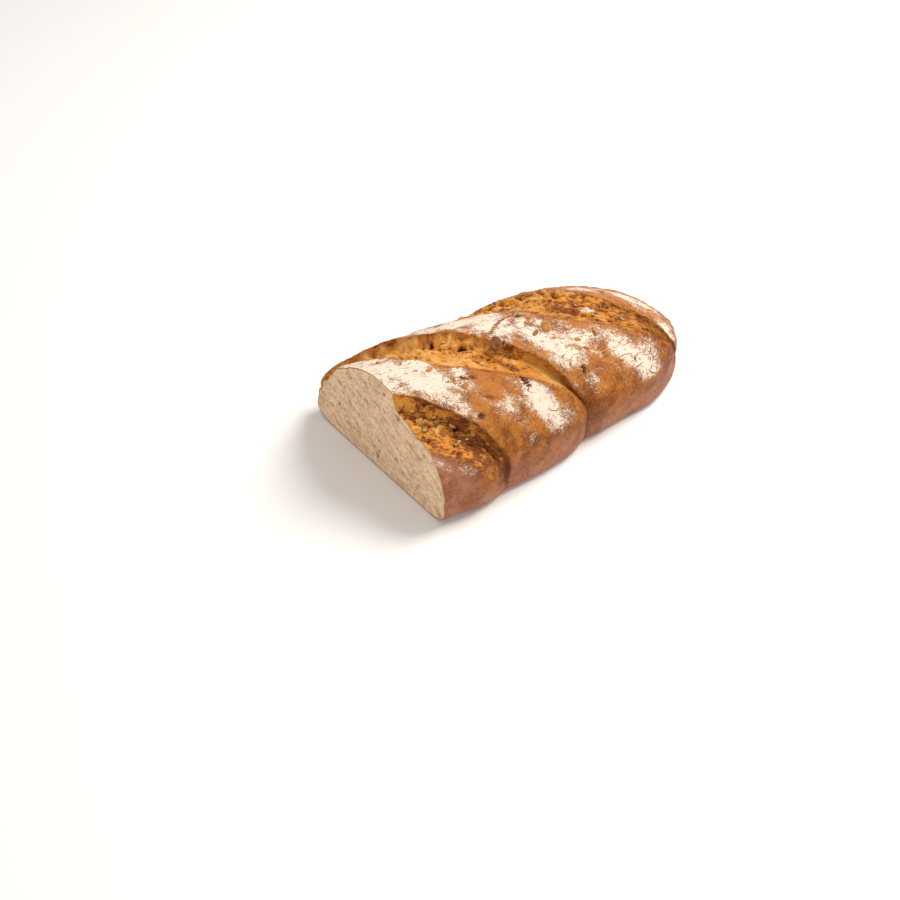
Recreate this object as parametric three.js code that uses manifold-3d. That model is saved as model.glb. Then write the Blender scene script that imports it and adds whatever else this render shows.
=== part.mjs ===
// A crusty walnut loaf with one end sliced off: a long free-baked loaf with three oblique slashes across
// its top. The skin beyond each slash has lifted into a ridge, and the torn dough below the ridge has risen
// as a rough band. Units are millimetres. While it is shaped, the loaf's cut face stands at x = 0, its round
// end points to +X, its front side to -Y, and it rests at z = 0. At the end it is moved so that the origin
// is under its middle.
import * as THREE from "three";
import { mergeVertices } from "three/addons/utils/BufferGeometryUtils.js";
import Module from "manifold-3d";

// ---- driving dimensions of the loaf ----
const HALF_WIDTH = 69.3; // of the sliced end
const HEIGHT = 71.0; // of the dome at the sliced end, without the ridges
const WAIST = 20.0; // height at which the loaf is widest
const SIDE = 2.2; // the loaf's middle line, off the frame's axis
const END_FROM = 162.0; // where the round end begins
const END_LENGTH = 74.0; // of the round end
const END_ROUNDNESS = 2.05; // exponent of the round end's plan: 2 is an ellipse
const TAPER = 6.0; // narrowing of each side on the way to the round end
const SINK = 0.3; // share of the dome's height that is lost where the round end begins
const DOME_FRONT = 2.0; // exponents of the dome: 2 is an ellipse, less is leaner
const DOME_BACK = 1.42;
const FOOT_CUT = { roundness: 5, sunk: 1.5 }; // rounding to the base at the cut face
const FOOT = { roundness: 6, sunk: 4.0 }; // rounding to the base further on
const FOOT_SETTLES = 30.0; // distance from the cut over which one turns into the other
const FLANK_SWELL = 2.2; // outward swelling of the front flank
const FRONT_FROM = 20.0; // distance from the axis over which the front flank's swelling dies out
const END_SWELL = 3.4; // outward swelling of the round end, below the waist

// ---- driving dimensions of the slashes ----
// Each slash runs along t, at 45 degrees to the loaf, and p is the distance across it, towards the round end.
// ridge: where its ridge lies across; bend: how it curves on; middle, half: its lens along t; width: of the
// torn band; plump: shape of the lens; lift: height of the ridge; reach: length of the lifted skin beyond it
// on the front side, and reachBehind on the back; over: how far the ridge leans over the band; deep: depth of
// the band; crease: depth of the fold past its front end; creaseBehind: the same past its back end.
const SLASHES = [
  { ridge: -10.5, bend: 0.0003, bendFrom: 0, middle: 10, half: 78, width: 30, plump: 1.0,
    lift: 3.5, reach: 32, reachBehind: 32, over: 1.5, deep: 8.5, crease: 1.8, creaseBehind: 0 },
  { ridge: 55.0, bend: 0.00085, bendFrom: 0, middle: 22, half: 106, width: 33, plump: 1.3,
    lift: 4.0, reach: 45, reachBehind: 10, over: 2.0, deep: 5.5, crease: 4.6, creaseBehind: 0 },
  { ridge: 136.0, bend: 0.0016, bendFrom: 85, middle: 65, half: 130, width: 48, plump: 1.15,
    lift: 1.6, reach: 45, reachBehind: 45, over: 1.5, deep: 4.0, crease: 0, creaseBehind: 0 },
];
const LEAST_BAND = 4.0; // width kept between a slash's two edge lines past its ends
const CREASE_WIDTH = 8.0;
const SLASH_FOOT = { from: 6, to: 28 }; // heights between which a slash dies out on the flank
const LIP = { height: 0.8, width: 5.0 }; // of the swollen lower edge of a band
const REACH_CHANGES = 30.0; // distance from a slash's middle over which reachBehind turns into reach
const UNDERCUT = 0.22; // share of the band over which it drops below the ridge
// How far the surface leans towards the band, as shares of `over`, at distances from the ridge.
const LEAN = [[-4.0, 0.0], [-2.2, 0.6], [0.0, -1.0], [4.0, -0.35], [10.0, 0.0]];

// ---- unevenness ----
const LUMPS = [{ size: 30, height: 1.2, seed: 3 }, { size: 13, height: 0.5, seed: 5 }];
const CRAGS = [
  { along: 22, across: 7, height: 2.0, seed: 11 },
  { along: 9, across: 5, height: 1.3, seed: 17 },
];

// ---- grains baked into the crust: along and across the slashes, then their half sizes and heading ----
const GRAINS = [
  { t: 67, p: 51, size: [5.6, 3.6, 3.8], heading: 62, raised: 1.3 },
  { t: 96.5, p: 79, size: [6.2, 3.6, 2.8], heading: 56, raised: 0.9 },
  { t: 90.5, p: 68, size: [4.6, 1.7, 2.0], heading: 28, raised: 0.6 },
  { t: 76, p: 88, size: [3.2, 2.2, 1.8], heading: 20, raised: 0.4 },
  { t: 128, p: 88, size: [3.4, 1.4, 1.5], heading: 75, raised: 0.4 },
  { t: 118, p: 76, size: [2.8, 1.5, 1.5], heading: -30, raised: 0.4 },
  { t: 52, p: 8, size: [3.6, 2.0, 1.8], heading: 30, raised: 0.4 },
  { t: 88, p: 12, size: [3.4, 1.8, 1.7], heading: -60, raised: 0.4 },
  { t: 30, p: 14, size: [3.2, 1.8, 1.6], heading: 15, raised: 0.4 },
  { t: 62, p: -14, size: [3.0, 1.7, 1.6], heading: 50, raised: 0.6 },
  { t: 30, p: 98, size: [3.2, 2.0, 1.8], heading: -10, raised: 0.5 },
  { t: 132, p: 148, size: [3.4, 2.0, 1.8], heading: 40, raised: 0.5 },
];

// ---- fineness of the faceted surface ----
const BEFORE_FIRST_BAND = 7; // rings between the outermost guide lines
const IN_BAND = 10;
const IN_SKIN = 9;
const AT_END = 17;
const TOP_POINTS = 54; // points of a ring above the waist
const UNDER_ANGLES = [7, 14, 20, 26, 42, 65]; // degrees below the waist, on each side

// ---- where the loaf's middle lies before it is moved, and the sliced-off block ----
const MIDDLE = { x: 119.996, y: 1.501 };
const FIRST_RING = -54.0; // across: the outermost ring, wholly in the part that is cut off
const BLOCK = 600.0; // size of the blocks that cut the end and the base flat

const CRUST_COLOUR = 0xb9752f;

const SQRT2 = Math.SQRT2;
const clamp = THREE.MathUtils.clamp;
const smooth = (from, to, x) => THREE.MathUtils.smoothstep(x, from, to);
const falling = (from, to, x) => 1 - smooth(from, to, x);

// ---- value noise: the same smooth random field for the same seed ----
function hash(i, j, k, seed) {
  let h = Math.imul(i, 374761393) + Math.imul(j, 668265263) + Math.imul(k, 2246822519);
  h = (h + Math.imul(seed, 3266489917)) | 0;
  h = Math.imul(h ^ (h >>> 13), 1274126177);
  return ((h ^ (h >>> 16)) >>> 0) / 2147483648 - 1;
}

function noise(x, y, z, seed) {
  const cell = [x, y, z].map(Math.floor);
  const fade = [x, y, z].map((v, i) => {
    const f = v - cell[i];
    return f * f * f * (f * (6 * f - 15) + 10);
  });
  let sum = 0;
  for (let corner = 0; corner < 8; corner += 1) {
    const bit = [corner & 1, (corner >> 1) & 1, corner >> 2];
    const weight = bit.reduce((w, b, i) => w * (b ? fade[i] : 1 - fade[i]), 1);
    sum += weight * hash(cell[0] + bit[0], cell[1] + bit[1], cell[2] + bit[2], seed);
  }
  return sum;
}

// ---- the smooth loaf: negative inside, positive outside ----
function loafField(x, y, z) {
  const side = y - SIDE;
  const half = HALF_WIDTH - TAPER * smooth(80, 150, x);
  const end = Math.max((x - END_FROM) / END_LENGTH, 0);
  const plan = Math.max(
    (end ** END_ROUNDNESS + Math.abs(side / half) ** END_ROUNDNESS) ** (1 / END_ROUNDNESS),
    1e-6,
  );
  if (z >= WAIST) {
    const dome = DOME_FRONT + (DOME_BACK - DOME_FRONT) * smooth(-30, 30, side);
    const rise = (HEIGHT - WAIST) * (1 - SINK * clamp(x / END_FROM, 0, 1.6) ** 2);
    return (plan ** dome + ((z - WAIST) / rise) ** dome) ** (1 / dome) - 1;
  }
  const settled = smooth(0, FOOT_SETTLES, x);
  const round = FOOT_CUT.roundness + (FOOT.roundness - FOOT_CUT.roundness) * settled;
  const sunk = FOOT_CUT.sunk + (FOOT.sunk - FOOT_CUT.sunk) * settled;
  return (plan ** round + ((WAIST - z) / (WAIST + sunk)) ** round) ** (1 / round) - 1;
}

function outward({ x, y, z }) {
  const step = 0.05;
  return new THREE.Vector3(
    loafField(x + step, y, z) - loafField(x - step, y, z),
    loafField(x, y + step, z) - loafField(x, y - step, z),
    loafField(x, y, z + step) - loafField(x, y, z - step),
  ).normalize();
}

// ---- the slashes' edge lines: how far across they lie, at t along them ----
const ridgeLine = (slash, t) => slash.ridge - slash.bend * Math.max(t - slash.bendFrom, 0) ** 2;
const openness = (slash, t) =>
  Math.max(1 - ((t - slash.middle) / slash.half) ** 2, 0) ** slash.plump;
function bandWidth(slash, t) {
  const wide = slash.width * openness(slash, t);
  return (wide + LEAST_BAND + Math.hypot(wide - LEAST_BAND, 3)) / 2;
}
const lowerLine = (slash, t) => ridgeLine(slash, t) - bandWidth(slash, t);

// ---- the relief: how a point of the smooth loaf moves outward, and across the slashes ----
function lean(distance) {
  const next = LEAN.findIndex(([at]) => at > distance);
  if (next < 1) return 0;
  const [[from, a], [to, b]] = [LEAN[next - 1], LEAN[next]];
  return a + ((b - a) * (distance - from)) / (to - from);
}

function craggy(p, t, z) {
  return CRAGS.reduce(
    (sum, { along, across, height, seed }) =>
      sum + height * noise(t / along, p / across, z / along, seed),
    0,
  );
}

function slashRelief(slash, p, t, z) {
  const open = openness(slash, t) * smooth(SLASH_FOOT.from, SLASH_FOOT.to, z);
  const strength = Math.sqrt(open);
  const distance = p - ridgeLine(slash, t);
  const width = bandWidth(slash, t);
  const depth = -distance / width; // 0 at the ridge, 1 at the lower edge of the band
  let out = 0;
  const front = smooth(slash.middle - REACH_CHANGES, slash.middle + REACH_CHANGES, t);
  const reach = slash.reachBehind + (slash.reach - slash.reachBehind) * front;
  if (distance > 0) out += slash.lift * Math.max(1 - (distance / reach) ** 2, 0);
  else out += slash.lift * Math.max(1 - depth / 0.35, 0) ** 1.5;
  if (depth > 0 && depth < 1) {
    const trough = smooth(0, UNDERCUT, depth) * (1 - depth ** 3.5);
    out += (craggy(p, t, z) - slash.deep) * trough;
  }
  if (depth > 0.6) out += LIP.height * Math.exp(-((((depth - 1) * width) / LIP.width) ** 2));
  const past = falling(0, 0.35, open);
  const fold = Math.exp(-(((distance + 1) / CREASE_WIDTH) ** 2)) * smooth(0, 8, z + 6);
  const crease = t > slash.middle ? slash.crease : slash.creaseBehind;
  return {
    out: out * strength - crease * past * fold,
    across: slash.over * strength * lean(distance),
  };
}

function shaped(point) {
  const { x, y, z } = point;
  const p = (x + y) / SQRT2;
  const t = (x - y) / SQRT2;
  const normal = outward(point);
  const across = new THREE.Vector3(1, 1, 0).normalize();
  across.addScaledVector(normal, -across.dot(normal));
  across.divideScalar(Math.max(across.length(), 0.25));
  const upper = smooth(-0.75, -0.35, normal.z); // the underside keeps no relief
  let out = 0;
  let shift = 0;
  for (const slash of SLASHES) {
    const relief = slashRelief(slash, p, t, z);
    out += relief.out * upper;
    shift += relief.across * upper;
  }
  const low = falling(0.3, 0.75, normal.z) * upper;
  out += FLANK_SWELL * falling(-FRONT_FROM, FRONT_FROM, y) * smooth(0, 30, x) * low;
  const tucked = falling(-0.25, 0.15, normal.z) * upper;
  out += END_SWELL * smooth(END_FROM, END_FROM + 0.8 * END_LENGTH, x) * tucked;
  for (const { size, height, seed } of LUMPS) {
    out += height * noise(x / size, y / size, z / size, seed) * smooth(-2, 12, z);
  }
  return point.clone().addScaledVector(normal, out).addScaledVector(across, shift);
}

// ---- rings: upright slices of the smooth loaf along lines that follow the slashes ----
const onPlan = (p, t) => ({ x: (p + t) / SQRT2, y: (p - t) / SQRT2 });

function inside(line, t, z) {
  const { x, y } = onPlan(line(t), t);
  return loafField(x, y, z) < 0;
}

function bisect(low, high, isInside) {
  for (let i = 0; i < 40; i += 1) {
    const middle = (low + high) / 2;
    if (isInside(middle)) low = middle;
    else high = middle;
  }
  return low;
}

const ALONG = { from: -160, to: 330, step: 0.5 }; // stretch of t that is searched for the loaf

function chord(line) {
  let first = null;
  let last = null;
  for (let t = ALONG.from; t <= ALONG.to; t += ALONG.step) {
    if (!inside(line, t, WAIST)) continue;
    first ??= t;
    last = t;
  }
  if (first === null) return null;
  const edge = (t, step) => bisect(t, t + step, (s) => inside(line, s, WAIST));
  return [edge(first, -ALONG.step), edge(last, ALONG.step)];
}

const ringAngles = [
  ...Array.from({ length: TOP_POINTS + 1 }, (_, i) => (180 * i) / TOP_POINTS),
  ...UNDER_ANGLES.map((a) => 180 + a),
  ...[...UNDER_ANGLES].reverse().map((a) => 360 - a),
].map(THREE.MathUtils.degToRad);

function ring(line) {
  const [start, end] = chord(line);
  const centre = (start + end) / 2;
  const half = (end - start) / 2;
  return ringAngles.map((angle) => {
    const dt = half * Math.cos(angle);
    const dz = (HEIGHT - WAIST) * Math.sin(angle);
    const reach = bisect(0, 1.6, (r) => inside(line, centre + r * dt, WAIST + r * dz));
    const t = centre + reach * dt;
    const { x, y } = onPlan(line(t), t);
    return new THREE.Vector3(x, y, WAIST + reach * dz);
  });
}

// The furthest line across that still meets the loaf.
const lastRing = bisect(150, 220, (p) => chord(() => p) !== null) - 0.3;

function ringLines() {
  const guides = [() => FIRST_RING];
  for (const slash of SLASHES) {
    guides.push((t) => lowerLine(slash, t), (t) => ridgeLine(slash, t));
  }
  guides.push(() => lastRing);
  const lines = [];
  for (let g = 0; g + 1 < guides.length; g += 1) {
    const last = g + 2 === guides.length;
    const steps = g === 0 ? BEFORE_FIRST_BAND : last ? AT_END : g % 2 ? IN_BAND : IN_SKIN;
    for (let i = 0; i < steps; i += 1) {
      const share = last ? Math.sin(((i / steps) * Math.PI) / 2) : i / steps;
      lines.push((t) => (1 - share) * guides[g](t) + share * guides[g + 1](t));
    }
  }
  lines.push(guides[guides.length - 1]);
  return lines;
}

function wholeLoaf() {
  const rings = ringLines().map((line) => ring(line).map(shaped));
  const count = ringAngles.length;
  const points = rings.flat();
  const faces = [];
  for (let r = 0; r + 1 < rings.length; r += 1) {
    for (let i = 0; i < count; i += 1) {
      const a = r * count + i;
      const b = r * count + ((i + 1) % count);
      // each four-sided patch is split along its shorter diagonal
      if (points[a].distanceTo(points[b + count]) < points[b].distanceTo(points[a + count])) {
        faces.push(a, b + count, b, a, a + count, b + count);
      } else {
        faces.push(a, a + count, b, b, a + count, b + count);
      }
    }
  }
  for (const [r, flip] of [[0, false], [rings.length - 1, true]]) {
    const hub = points.length;
    const sum = rings[r].reduce((s, v) => s.add(v), new THREE.Vector3());
    points.push(sum.divideScalar(count));
    for (let i = 0; i < count; i += 1) {
      const a = r * count + i;
      const b = r * count + ((i + 1) % count);
      faces.push(...(flip ? [b, a, hub] : [a, b, hub]));
    }
  }
  const geometry = new THREE.BufferGeometry().setFromPoints(points);
  return geometry.setIndex(faces);
}

// ---- grains ----
function onSurface(p, t) {
  const { x, y } = onPlan(p, t);
  const z = bisect(WAIST, HEIGHT, (h) => loafField(x, y, h) < 0);
  return new THREE.Vector3(x, y, z);
}

function grain({ t, p, size, heading, raised }) {
  const smoothPoint = onSurface(p, t);
  const place = shaped(smoothPoint).addScaledVector(outward(smoothPoint), raised - size[2] * 0.6);
  const turn = new THREE.Matrix4().makeRotationZ(THREE.MathUtils.degToRad(heading));
  const tilt = new THREE.Matrix4().makeRotationFromQuaternion(
    new THREE.Quaternion().setFromUnitVectors(new THREE.Vector3(0, 0, 1), outward(smoothPoint)),
  );
  return new THREE.SphereGeometry(1, 9, 6)
    .scale(...size)
    .applyMatrix4(turn)
    .applyMatrix4(tilt)
    .translate(place.x, place.y, place.z);
}

// ---- solids ----
const wasm = await Module();
wasm.setup();

function solid(geometry) {
  const bare = geometry.clone();
  bare.deleteAttribute("normal");
  bare.deleteAttribute("uv");
  const merged = mergeVertices(bare, 1e-4);
  return new wasm.Manifold(
    new wasm.Mesh({
      numProp: 3,
      vertProperties: new Float32Array(merged.attributes.position.array),
      triVerts: new Uint32Array(merged.index.array),
    }),
  );
}

function geometryOf(manifold) {
  const mesh = manifold.getMesh();
  return new THREE.BufferGeometry()
    .setAttribute("position", new THREE.BufferAttribute(mesh.vertProperties, 3))
    .setIndex(new THREE.BufferAttribute(mesh.triVerts, 1));
}

const block = (x, z) => solid(new THREE.BoxGeometry(BLOCK, BLOCK, BLOCK).translate(x, 0, z));

let loaf = solid(wholeLoaf());
for (const each of GRAINS) loaf = loaf.add(solid(grain(each)));
loaf = loaf.subtract(block(-BLOCK / 2, 0)); // the knife's cut
loaf = loaf.subtract(block(0, -BLOCK / 2)); // the flat base

const geometry = geometryOf(loaf).translate(-MIDDLE.x, -MIDDLE.y, 0);
geometry.computeVertexNormals();
const mesh = new THREE.Mesh(
  geometry,
  new THREE.MeshStandardMaterial({ color: CRUST_COLOUR, roughness: 0.75, metalness: 0 }),
);
mesh.name = "loaf";

const part = new THREE.Group();
part.add(mesh);

export default part;
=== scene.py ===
"""A crusty walnut loaf with one end sliced off, dressed round its solid model and set in a pale studio.

The loaf is shaped in millimetres in a frame of its own: the cut face stands at x = 0, the round end points
to +X, the front side to -Y and the base lies at z = 0. Three slashes cross its top. p is the distance across
them, towards the round end, and t the distance along them, towards the front side.
"""

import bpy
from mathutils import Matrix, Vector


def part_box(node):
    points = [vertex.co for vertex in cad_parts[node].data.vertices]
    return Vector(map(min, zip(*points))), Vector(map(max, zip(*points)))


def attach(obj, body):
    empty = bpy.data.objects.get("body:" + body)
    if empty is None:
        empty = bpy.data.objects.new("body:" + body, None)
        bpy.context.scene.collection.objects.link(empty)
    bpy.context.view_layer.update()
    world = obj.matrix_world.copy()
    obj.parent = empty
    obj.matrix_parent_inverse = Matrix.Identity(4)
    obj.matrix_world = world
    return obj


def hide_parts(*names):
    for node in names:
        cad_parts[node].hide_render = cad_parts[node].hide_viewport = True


bl_info = {
    "name": "Walnut bread",
    "version": (1, 0, 0),
    "blender": (4, 5, 0),
    "location": "3D View > Sidebar > Bread",
    "description": "A slashed and floured walnut loaf with a sliced end, in a pale studio",
    "category": "Add Mesh",
}

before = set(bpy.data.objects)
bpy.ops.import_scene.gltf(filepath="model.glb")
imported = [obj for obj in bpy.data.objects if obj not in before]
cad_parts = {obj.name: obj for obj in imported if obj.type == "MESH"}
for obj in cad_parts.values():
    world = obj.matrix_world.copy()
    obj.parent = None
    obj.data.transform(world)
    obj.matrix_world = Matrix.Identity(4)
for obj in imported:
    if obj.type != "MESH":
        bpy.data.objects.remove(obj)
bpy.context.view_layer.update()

import math
from collections import namedtuple
from functools import partial
from itertools import product

import bmesh
import bpy
import numpy as np
from bpy.props import FloatProperty, FloatVectorProperty, PointerProperty
from mathutils import Matrix, Vector
from mathutils.geometry import delaunay_2d_cdt

BOX_LOW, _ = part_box("loaf")
MM = 0.001
MIDDLE_X = -BOX_LOW[0] / MM  # the frame's origin in the loaf's own millimetres
MIDDLE_Y = 1.501


def paint(code):
    """A colour written as 0xRRGGBB, as the linear colour that shaders use."""
    parts = [((code >> shift) & 255) / 255 for shift in (16, 8, 0)]
    return tuple(c / 12.92 if c <= 0.04045 else ((c + 0.055) / 1.055) ** 2.4 for c in parts)


# ---------------------------------------------------------------- what a user would change


def length(name, millimetres, description):
    default = millimetres * MM
    return FloatProperty(
        name=name, description=description, default=default, min=0, unit="LENGTH", precision=4
    )


def colour(name, code, description):
    default = paint(code)
    return FloatVectorProperty(
        name=name, description=description, default=default, size=3, min=0, max=1, subtype="COLOR"
    )


def share(name, value, description):
    return FloatProperty(name=name, description=description, default=value, min=0, max=2, subtype="FACTOR")


def power(name, watts, description):
    return FloatProperty(name=name, description=description, default=watts, min=0, unit="POWER")


class LoafSizes(bpy.types.PropertyGroup):
    """The smooth loaf and how rough its torn bands are"""

    half_width: length("Half width", 69.3, "Half the width of the sliced end")
    height: length("Height", 71, "Height of the dome at the sliced end, without the ridges")
    waist: length("Waist", 20, "Height at which the loaf is widest")
    side: length("Middle line", 2.2, "Distance of the loaf's middle line from the frame's axis")
    end_from: length("Round end from", 162, "Distance from the cut face at which the round end begins")
    end_length: length("Round end", 74, "Length of the round end")
    taper: length("Taper", 6, "Narrowing of each side on the way to the round end")
    flank_swell: length("Flank swell", 2.2, "Outward swelling of the front flank")
    end_swell: length("End swell", 3.4, "Outward swelling of the round end, below the waist")
    strand_height: length("Strands", 1.3, "Height of the torn strands of dough in the slashes")
    crumb_pore: length("Pores", 1.3, "Depth of the pores in the cut face")


class CrustLook(bpy.types.PropertyGroup):
    """Colours of the baked skin, the torn dough and the flour"""

    golden: colour("Golden", 0xB46C20, "Lightly baked skin")
    brown: colour("Brown", 0x753C12, "Well baked skin")
    # also used for painted shade in the creases past the slashes and in the dents
    scorched: colour("Scorched", 0x46200F, "Thin edges and strands that caught the heat")
    # partly painted reflection: the foot's dull pinkish tint stands in for light thrown back onto the low
    # flanks, over the skin's own tone
    foot: colour("Foot", 0xB87F62, "Skin low on the flanks")
    shaded_foot: colour("Darker foot", 0x965C42, "Darker patches low on the flanks")
    torn: colour("Torn dough", 0xDA8E33, "Dough that opened in the slashes")
    toasted: colour("Toasted dough", 0x82431C, "Torn dough that baked dark")
    # painted shade: the colour to which holes, pits and deep dents of the crust are darkened
    hollow: colour("Hollows", 0x30150A, "Holes and hollows in the torn dough")
    # light tips of the torn dough; on the crests of the strands this is also a painted highlight
    dry: colour("Dry tips", 0xE8B873, "Tips of the torn dough that stayed light")
    flour: colour("Flour", 0xEBD8C3, "Flour dusted on before baking")
    dusting: share("Dusting", 1.0, "How much flour lies on the skin")


class CrumbLook(bpy.types.PropertyGroup):
    """Colours of the cut face"""

    crumb: colour("Crumb", 0xEBCBA8, "The soft inside of the loaf")
    damp: colour("Dense crumb", 0xCCA783, "Denser patches of the crumb")
    # the colour of the bran specks, and also the painted shade in the pores
    bran_and_pore_shade: colour("Pores", 0x80502F, "Pores and specks of bran")
    kernel: colour("Kernels", 0xB98F62, "Cut kernels and nuts in the crumb")
    rind: colour("Rind", 0xB87F4C, "The crust seen edge on")
    rind_width: length("Rind width", 1.0, "Thickness of the crust at the cut face")


class SeedLook(bpy.types.PropertyGroup):
    """Colours of the kernels and seeds in the crust"""

    coat: colour("Seed coat", 0xB97F3E, "The lightest seeds")
    dark_coat: colour("Dark seed coat", 0x6E3A20, "The darkest seeds")
    edge: colour("Seed edge", 0xD6B384, "The thin light edge of a seed")
    dust: colour("Dust on seeds", 0xEBD8C3, "Flour on the seeds")


class StudioLook(bpy.types.PropertyGroup):
    """The floor, the lamps and the sky round the loaf"""

    floor: colour("Floor", 0xF4F2EF, "The plain floor")
    sky: FloatProperty(name="Sky", description="Strength of the even light", default=0.56, min=0)
    key: power("Key lamp", 21.0, "Power of the large lamp above the round end")
    fill: power("Fill lamp", 4.2, "Power of the lamp near the camera")


# ---------------------------------------------------------------- smooth random fields

HASH_STEPS = (374761393, 668265263, 2246822519)  # large odd numbers that tell the cells apart
HASH_SEED, HASH_MIX, HASH_HALF = 3266489917, 1274126177, 2147483648.0
CREST_SHARPNESS = 0.8
PEBBLE_STRAY = 0.42  # how far a point may lie from its cell's middle


def smooth(start, stop, x):
    """0 at start and 1 at stop, with a smooth rise between them; stop may lie below start."""
    k = np.clip((x - start) / (stop - start), 0, 1)
    return k * k * (3 - 2 * k)


def scatter_hash(i, j, k, seed):
    """One number from -1 to 1 for each whole-numbered cell."""
    with np.errstate(over="ignore"):
        h = np.uint32(seed * HASH_SEED & 0xFFFFFFFF)
        for index, step in zip((i, j, k), HASH_STEPS):
            h = h + index.astype(np.uint32) * np.uint32(step)
        h = (h ^ (h >> np.uint32(13))) * np.uint32(HASH_MIX)
        h ^= h >> np.uint32(16)
    return h / HASH_HALF - 1


def in_cells(*axes):
    """The places along each axis, and the whole-numbered cells that they lie in."""
    axes = np.broadcast_arrays(*(np.asarray(a, float) for a in axes))
    return axes, [np.floor(a).astype(np.int64) for a in axes]


def noise(x, y, z, seed):
    """A smooth random field from -1 to 1 with features about one unit wide."""
    axes, cells = in_cells(x, y, z)
    parts = [a - c for a, c in zip(axes, cells)]
    fades = [f * f * f * (f * (6 * f - 15) + 10) for f in parts]
    total = np.zeros(axes[0].shape)
    for corner in range(8):
        bits = (corner & 1, corner >> 1 & 1, corner >> 2)
        weight = 1
        for bit, fade in zip(bits, fades):
            weight = weight * (fade if bit else 1 - fade)
        total += weight * scatter_hash(*(c + b for c, b in zip(cells, bits)), seed)
    return total


def creased(x, y, z, seed):
    """Noise folded into sharp crests, from -1 to 1."""
    return 1 - 2 * np.abs(noise(x, y, z, seed)) ** CREST_SHARPNESS


def pebbles(x, y, z, seed):
    """Distance to the nearest of points strewn one to a unit cell, and that point's own number."""
    axes, cells = in_cells(x, y, z)
    nearest, number = np.full(axes[0].shape, np.inf), np.zeros(axes[0].shape)
    for step in product((-1, 0, 1), repeat=3):
        cell = [c + s for c, s in zip(cells, step)]
        away = 0
        for k, (axis, c) in enumerate(zip(axes, cell)):
            away = away + (axis - c - 0.5 - PEBBLE_STRAY * scatter_hash(*cell, seed + k)) ** 2
        away = np.sqrt(away)
        number = np.where(away < nearest, scatter_hash(*cell, seed + 3), number)
        nearest = np.minimum(nearest, away)
    return nearest, number


HALVINGS = 40  # of the stretch in which an edge is looked for


def bisect(low, high, is_inside):
    """The edge of what is inside, between low, which is inside, and high, which is not."""
    for _ in range(HALVINGS):
        middle = (low + high) / 2
        inside = is_inside(middle)
        low, high = np.where(inside, middle, low), np.where(inside, high, middle)
    return low


# ---------------------------------------------------------------- the smooth loaf

SINK = 0.3  # share of the dome's height that is lost where the round end begins
SINKS_UNTIL = 1.6  # how far on this goes, as a share of the way to the round end
TAPERS = (80, 150)  # distances from the cut face between which the sides narrow
END_ROUNDNESS = 2.05
DOME_FRONT, DOME_BACK = 2.0, 1.42  # exponents of the dome: 2 is an ellipse, less is leaner
DOME_CHANGES = 30  # distance from the middle line over which the one turns into the other
FOOT_AT_CUT = (5, 1.5)  # rounding to the base at the cut face, and how far it would sink below the base
FOOT = (6, 4.0)  # the same over the rest of the loaf
FOOT_SETTLES = 30  # distance from the cut face over which the foot changes and the front flank swells
FRONT_FROM = 20  # distance to each side of y = 0 over which the front flank's swelling dies out
SQRT2 = math.sqrt(2)


def on_plan(p, t):
    """x and y of a place given across and along the slashes."""
    return (p + t) / SQRT2, (p - t) / SQRT2


SMOOTH_SIZES = "half_width height waist side end_from end_length taper flank_swell end_swell".split()


class SmoothLoaf:
    """The loaf without slashes: field() is negative inside and positive outside."""

    def __init__(self, sizes):
        for name in SMOOTH_SIZES:
            setattr(self, name, getattr(sizes, name) / MM)

    def field(self, x, y, z):
        side = y - self.side
        half = self.half_width - self.taper * smooth(*TAPERS, x)
        end = np.maximum((x - self.end_from) / self.end_length, 0)
        plan = (end**END_ROUNDNESS + np.abs(side / half) ** END_ROUNDNESS) ** (1 / END_ROUNDNESS)
        plan = np.maximum(plan, 1e-6)
        dome = DOME_FRONT + (DOME_BACK - DOME_FRONT) * smooth(-DOME_CHANGES, DOME_CHANGES, side)
        sag = 1 - SINK * np.clip(x / self.end_from, 0, SINKS_UNTIL) ** 2
        above = np.maximum(z - self.waist, 0) / ((self.height - self.waist) * sag)
        settled = smooth(0, FOOT_SETTLES, x)
        foot, sunk = (a + (b - a) * settled for a, b in zip(FOOT_AT_CUT, FOOT))
        below = np.maximum(self.waist - z, 0) / (self.waist + sunk)
        top = (plan**dome + above**dome) ** (1 / dome)
        under = (plan**foot + below**foot) ** (1 / foot)
        return np.where(z >= self.waist, top, under) - 1

    def outward(self, x, y, z):
        """The direction straight out of the smooth skin."""
        place, step = np.stack([x, y, z]), 0.05
        slope = []
        for axis in np.eye(3)[:, :, None]:
            slope.append(self.field(*(place + step * axis)) - self.field(*(place - step * axis)))
        slope = np.stack(slope, -1)
        return slope / np.maximum(np.linalg.norm(slope, axis=-1, keepdims=True), 1e-9)

    def height_at(self, p, t):
        """The height of the smooth loaf's top at a place on the plan."""
        x, y = on_plan(p, t)
        low, high = np.full(np.shape(x), self.waist), np.full(np.shape(x), self.height)
        return bisect(low, high, lambda z: self.field(x, y, z) < 0)


# ---------------------------------------------------------------- the slashes

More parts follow.
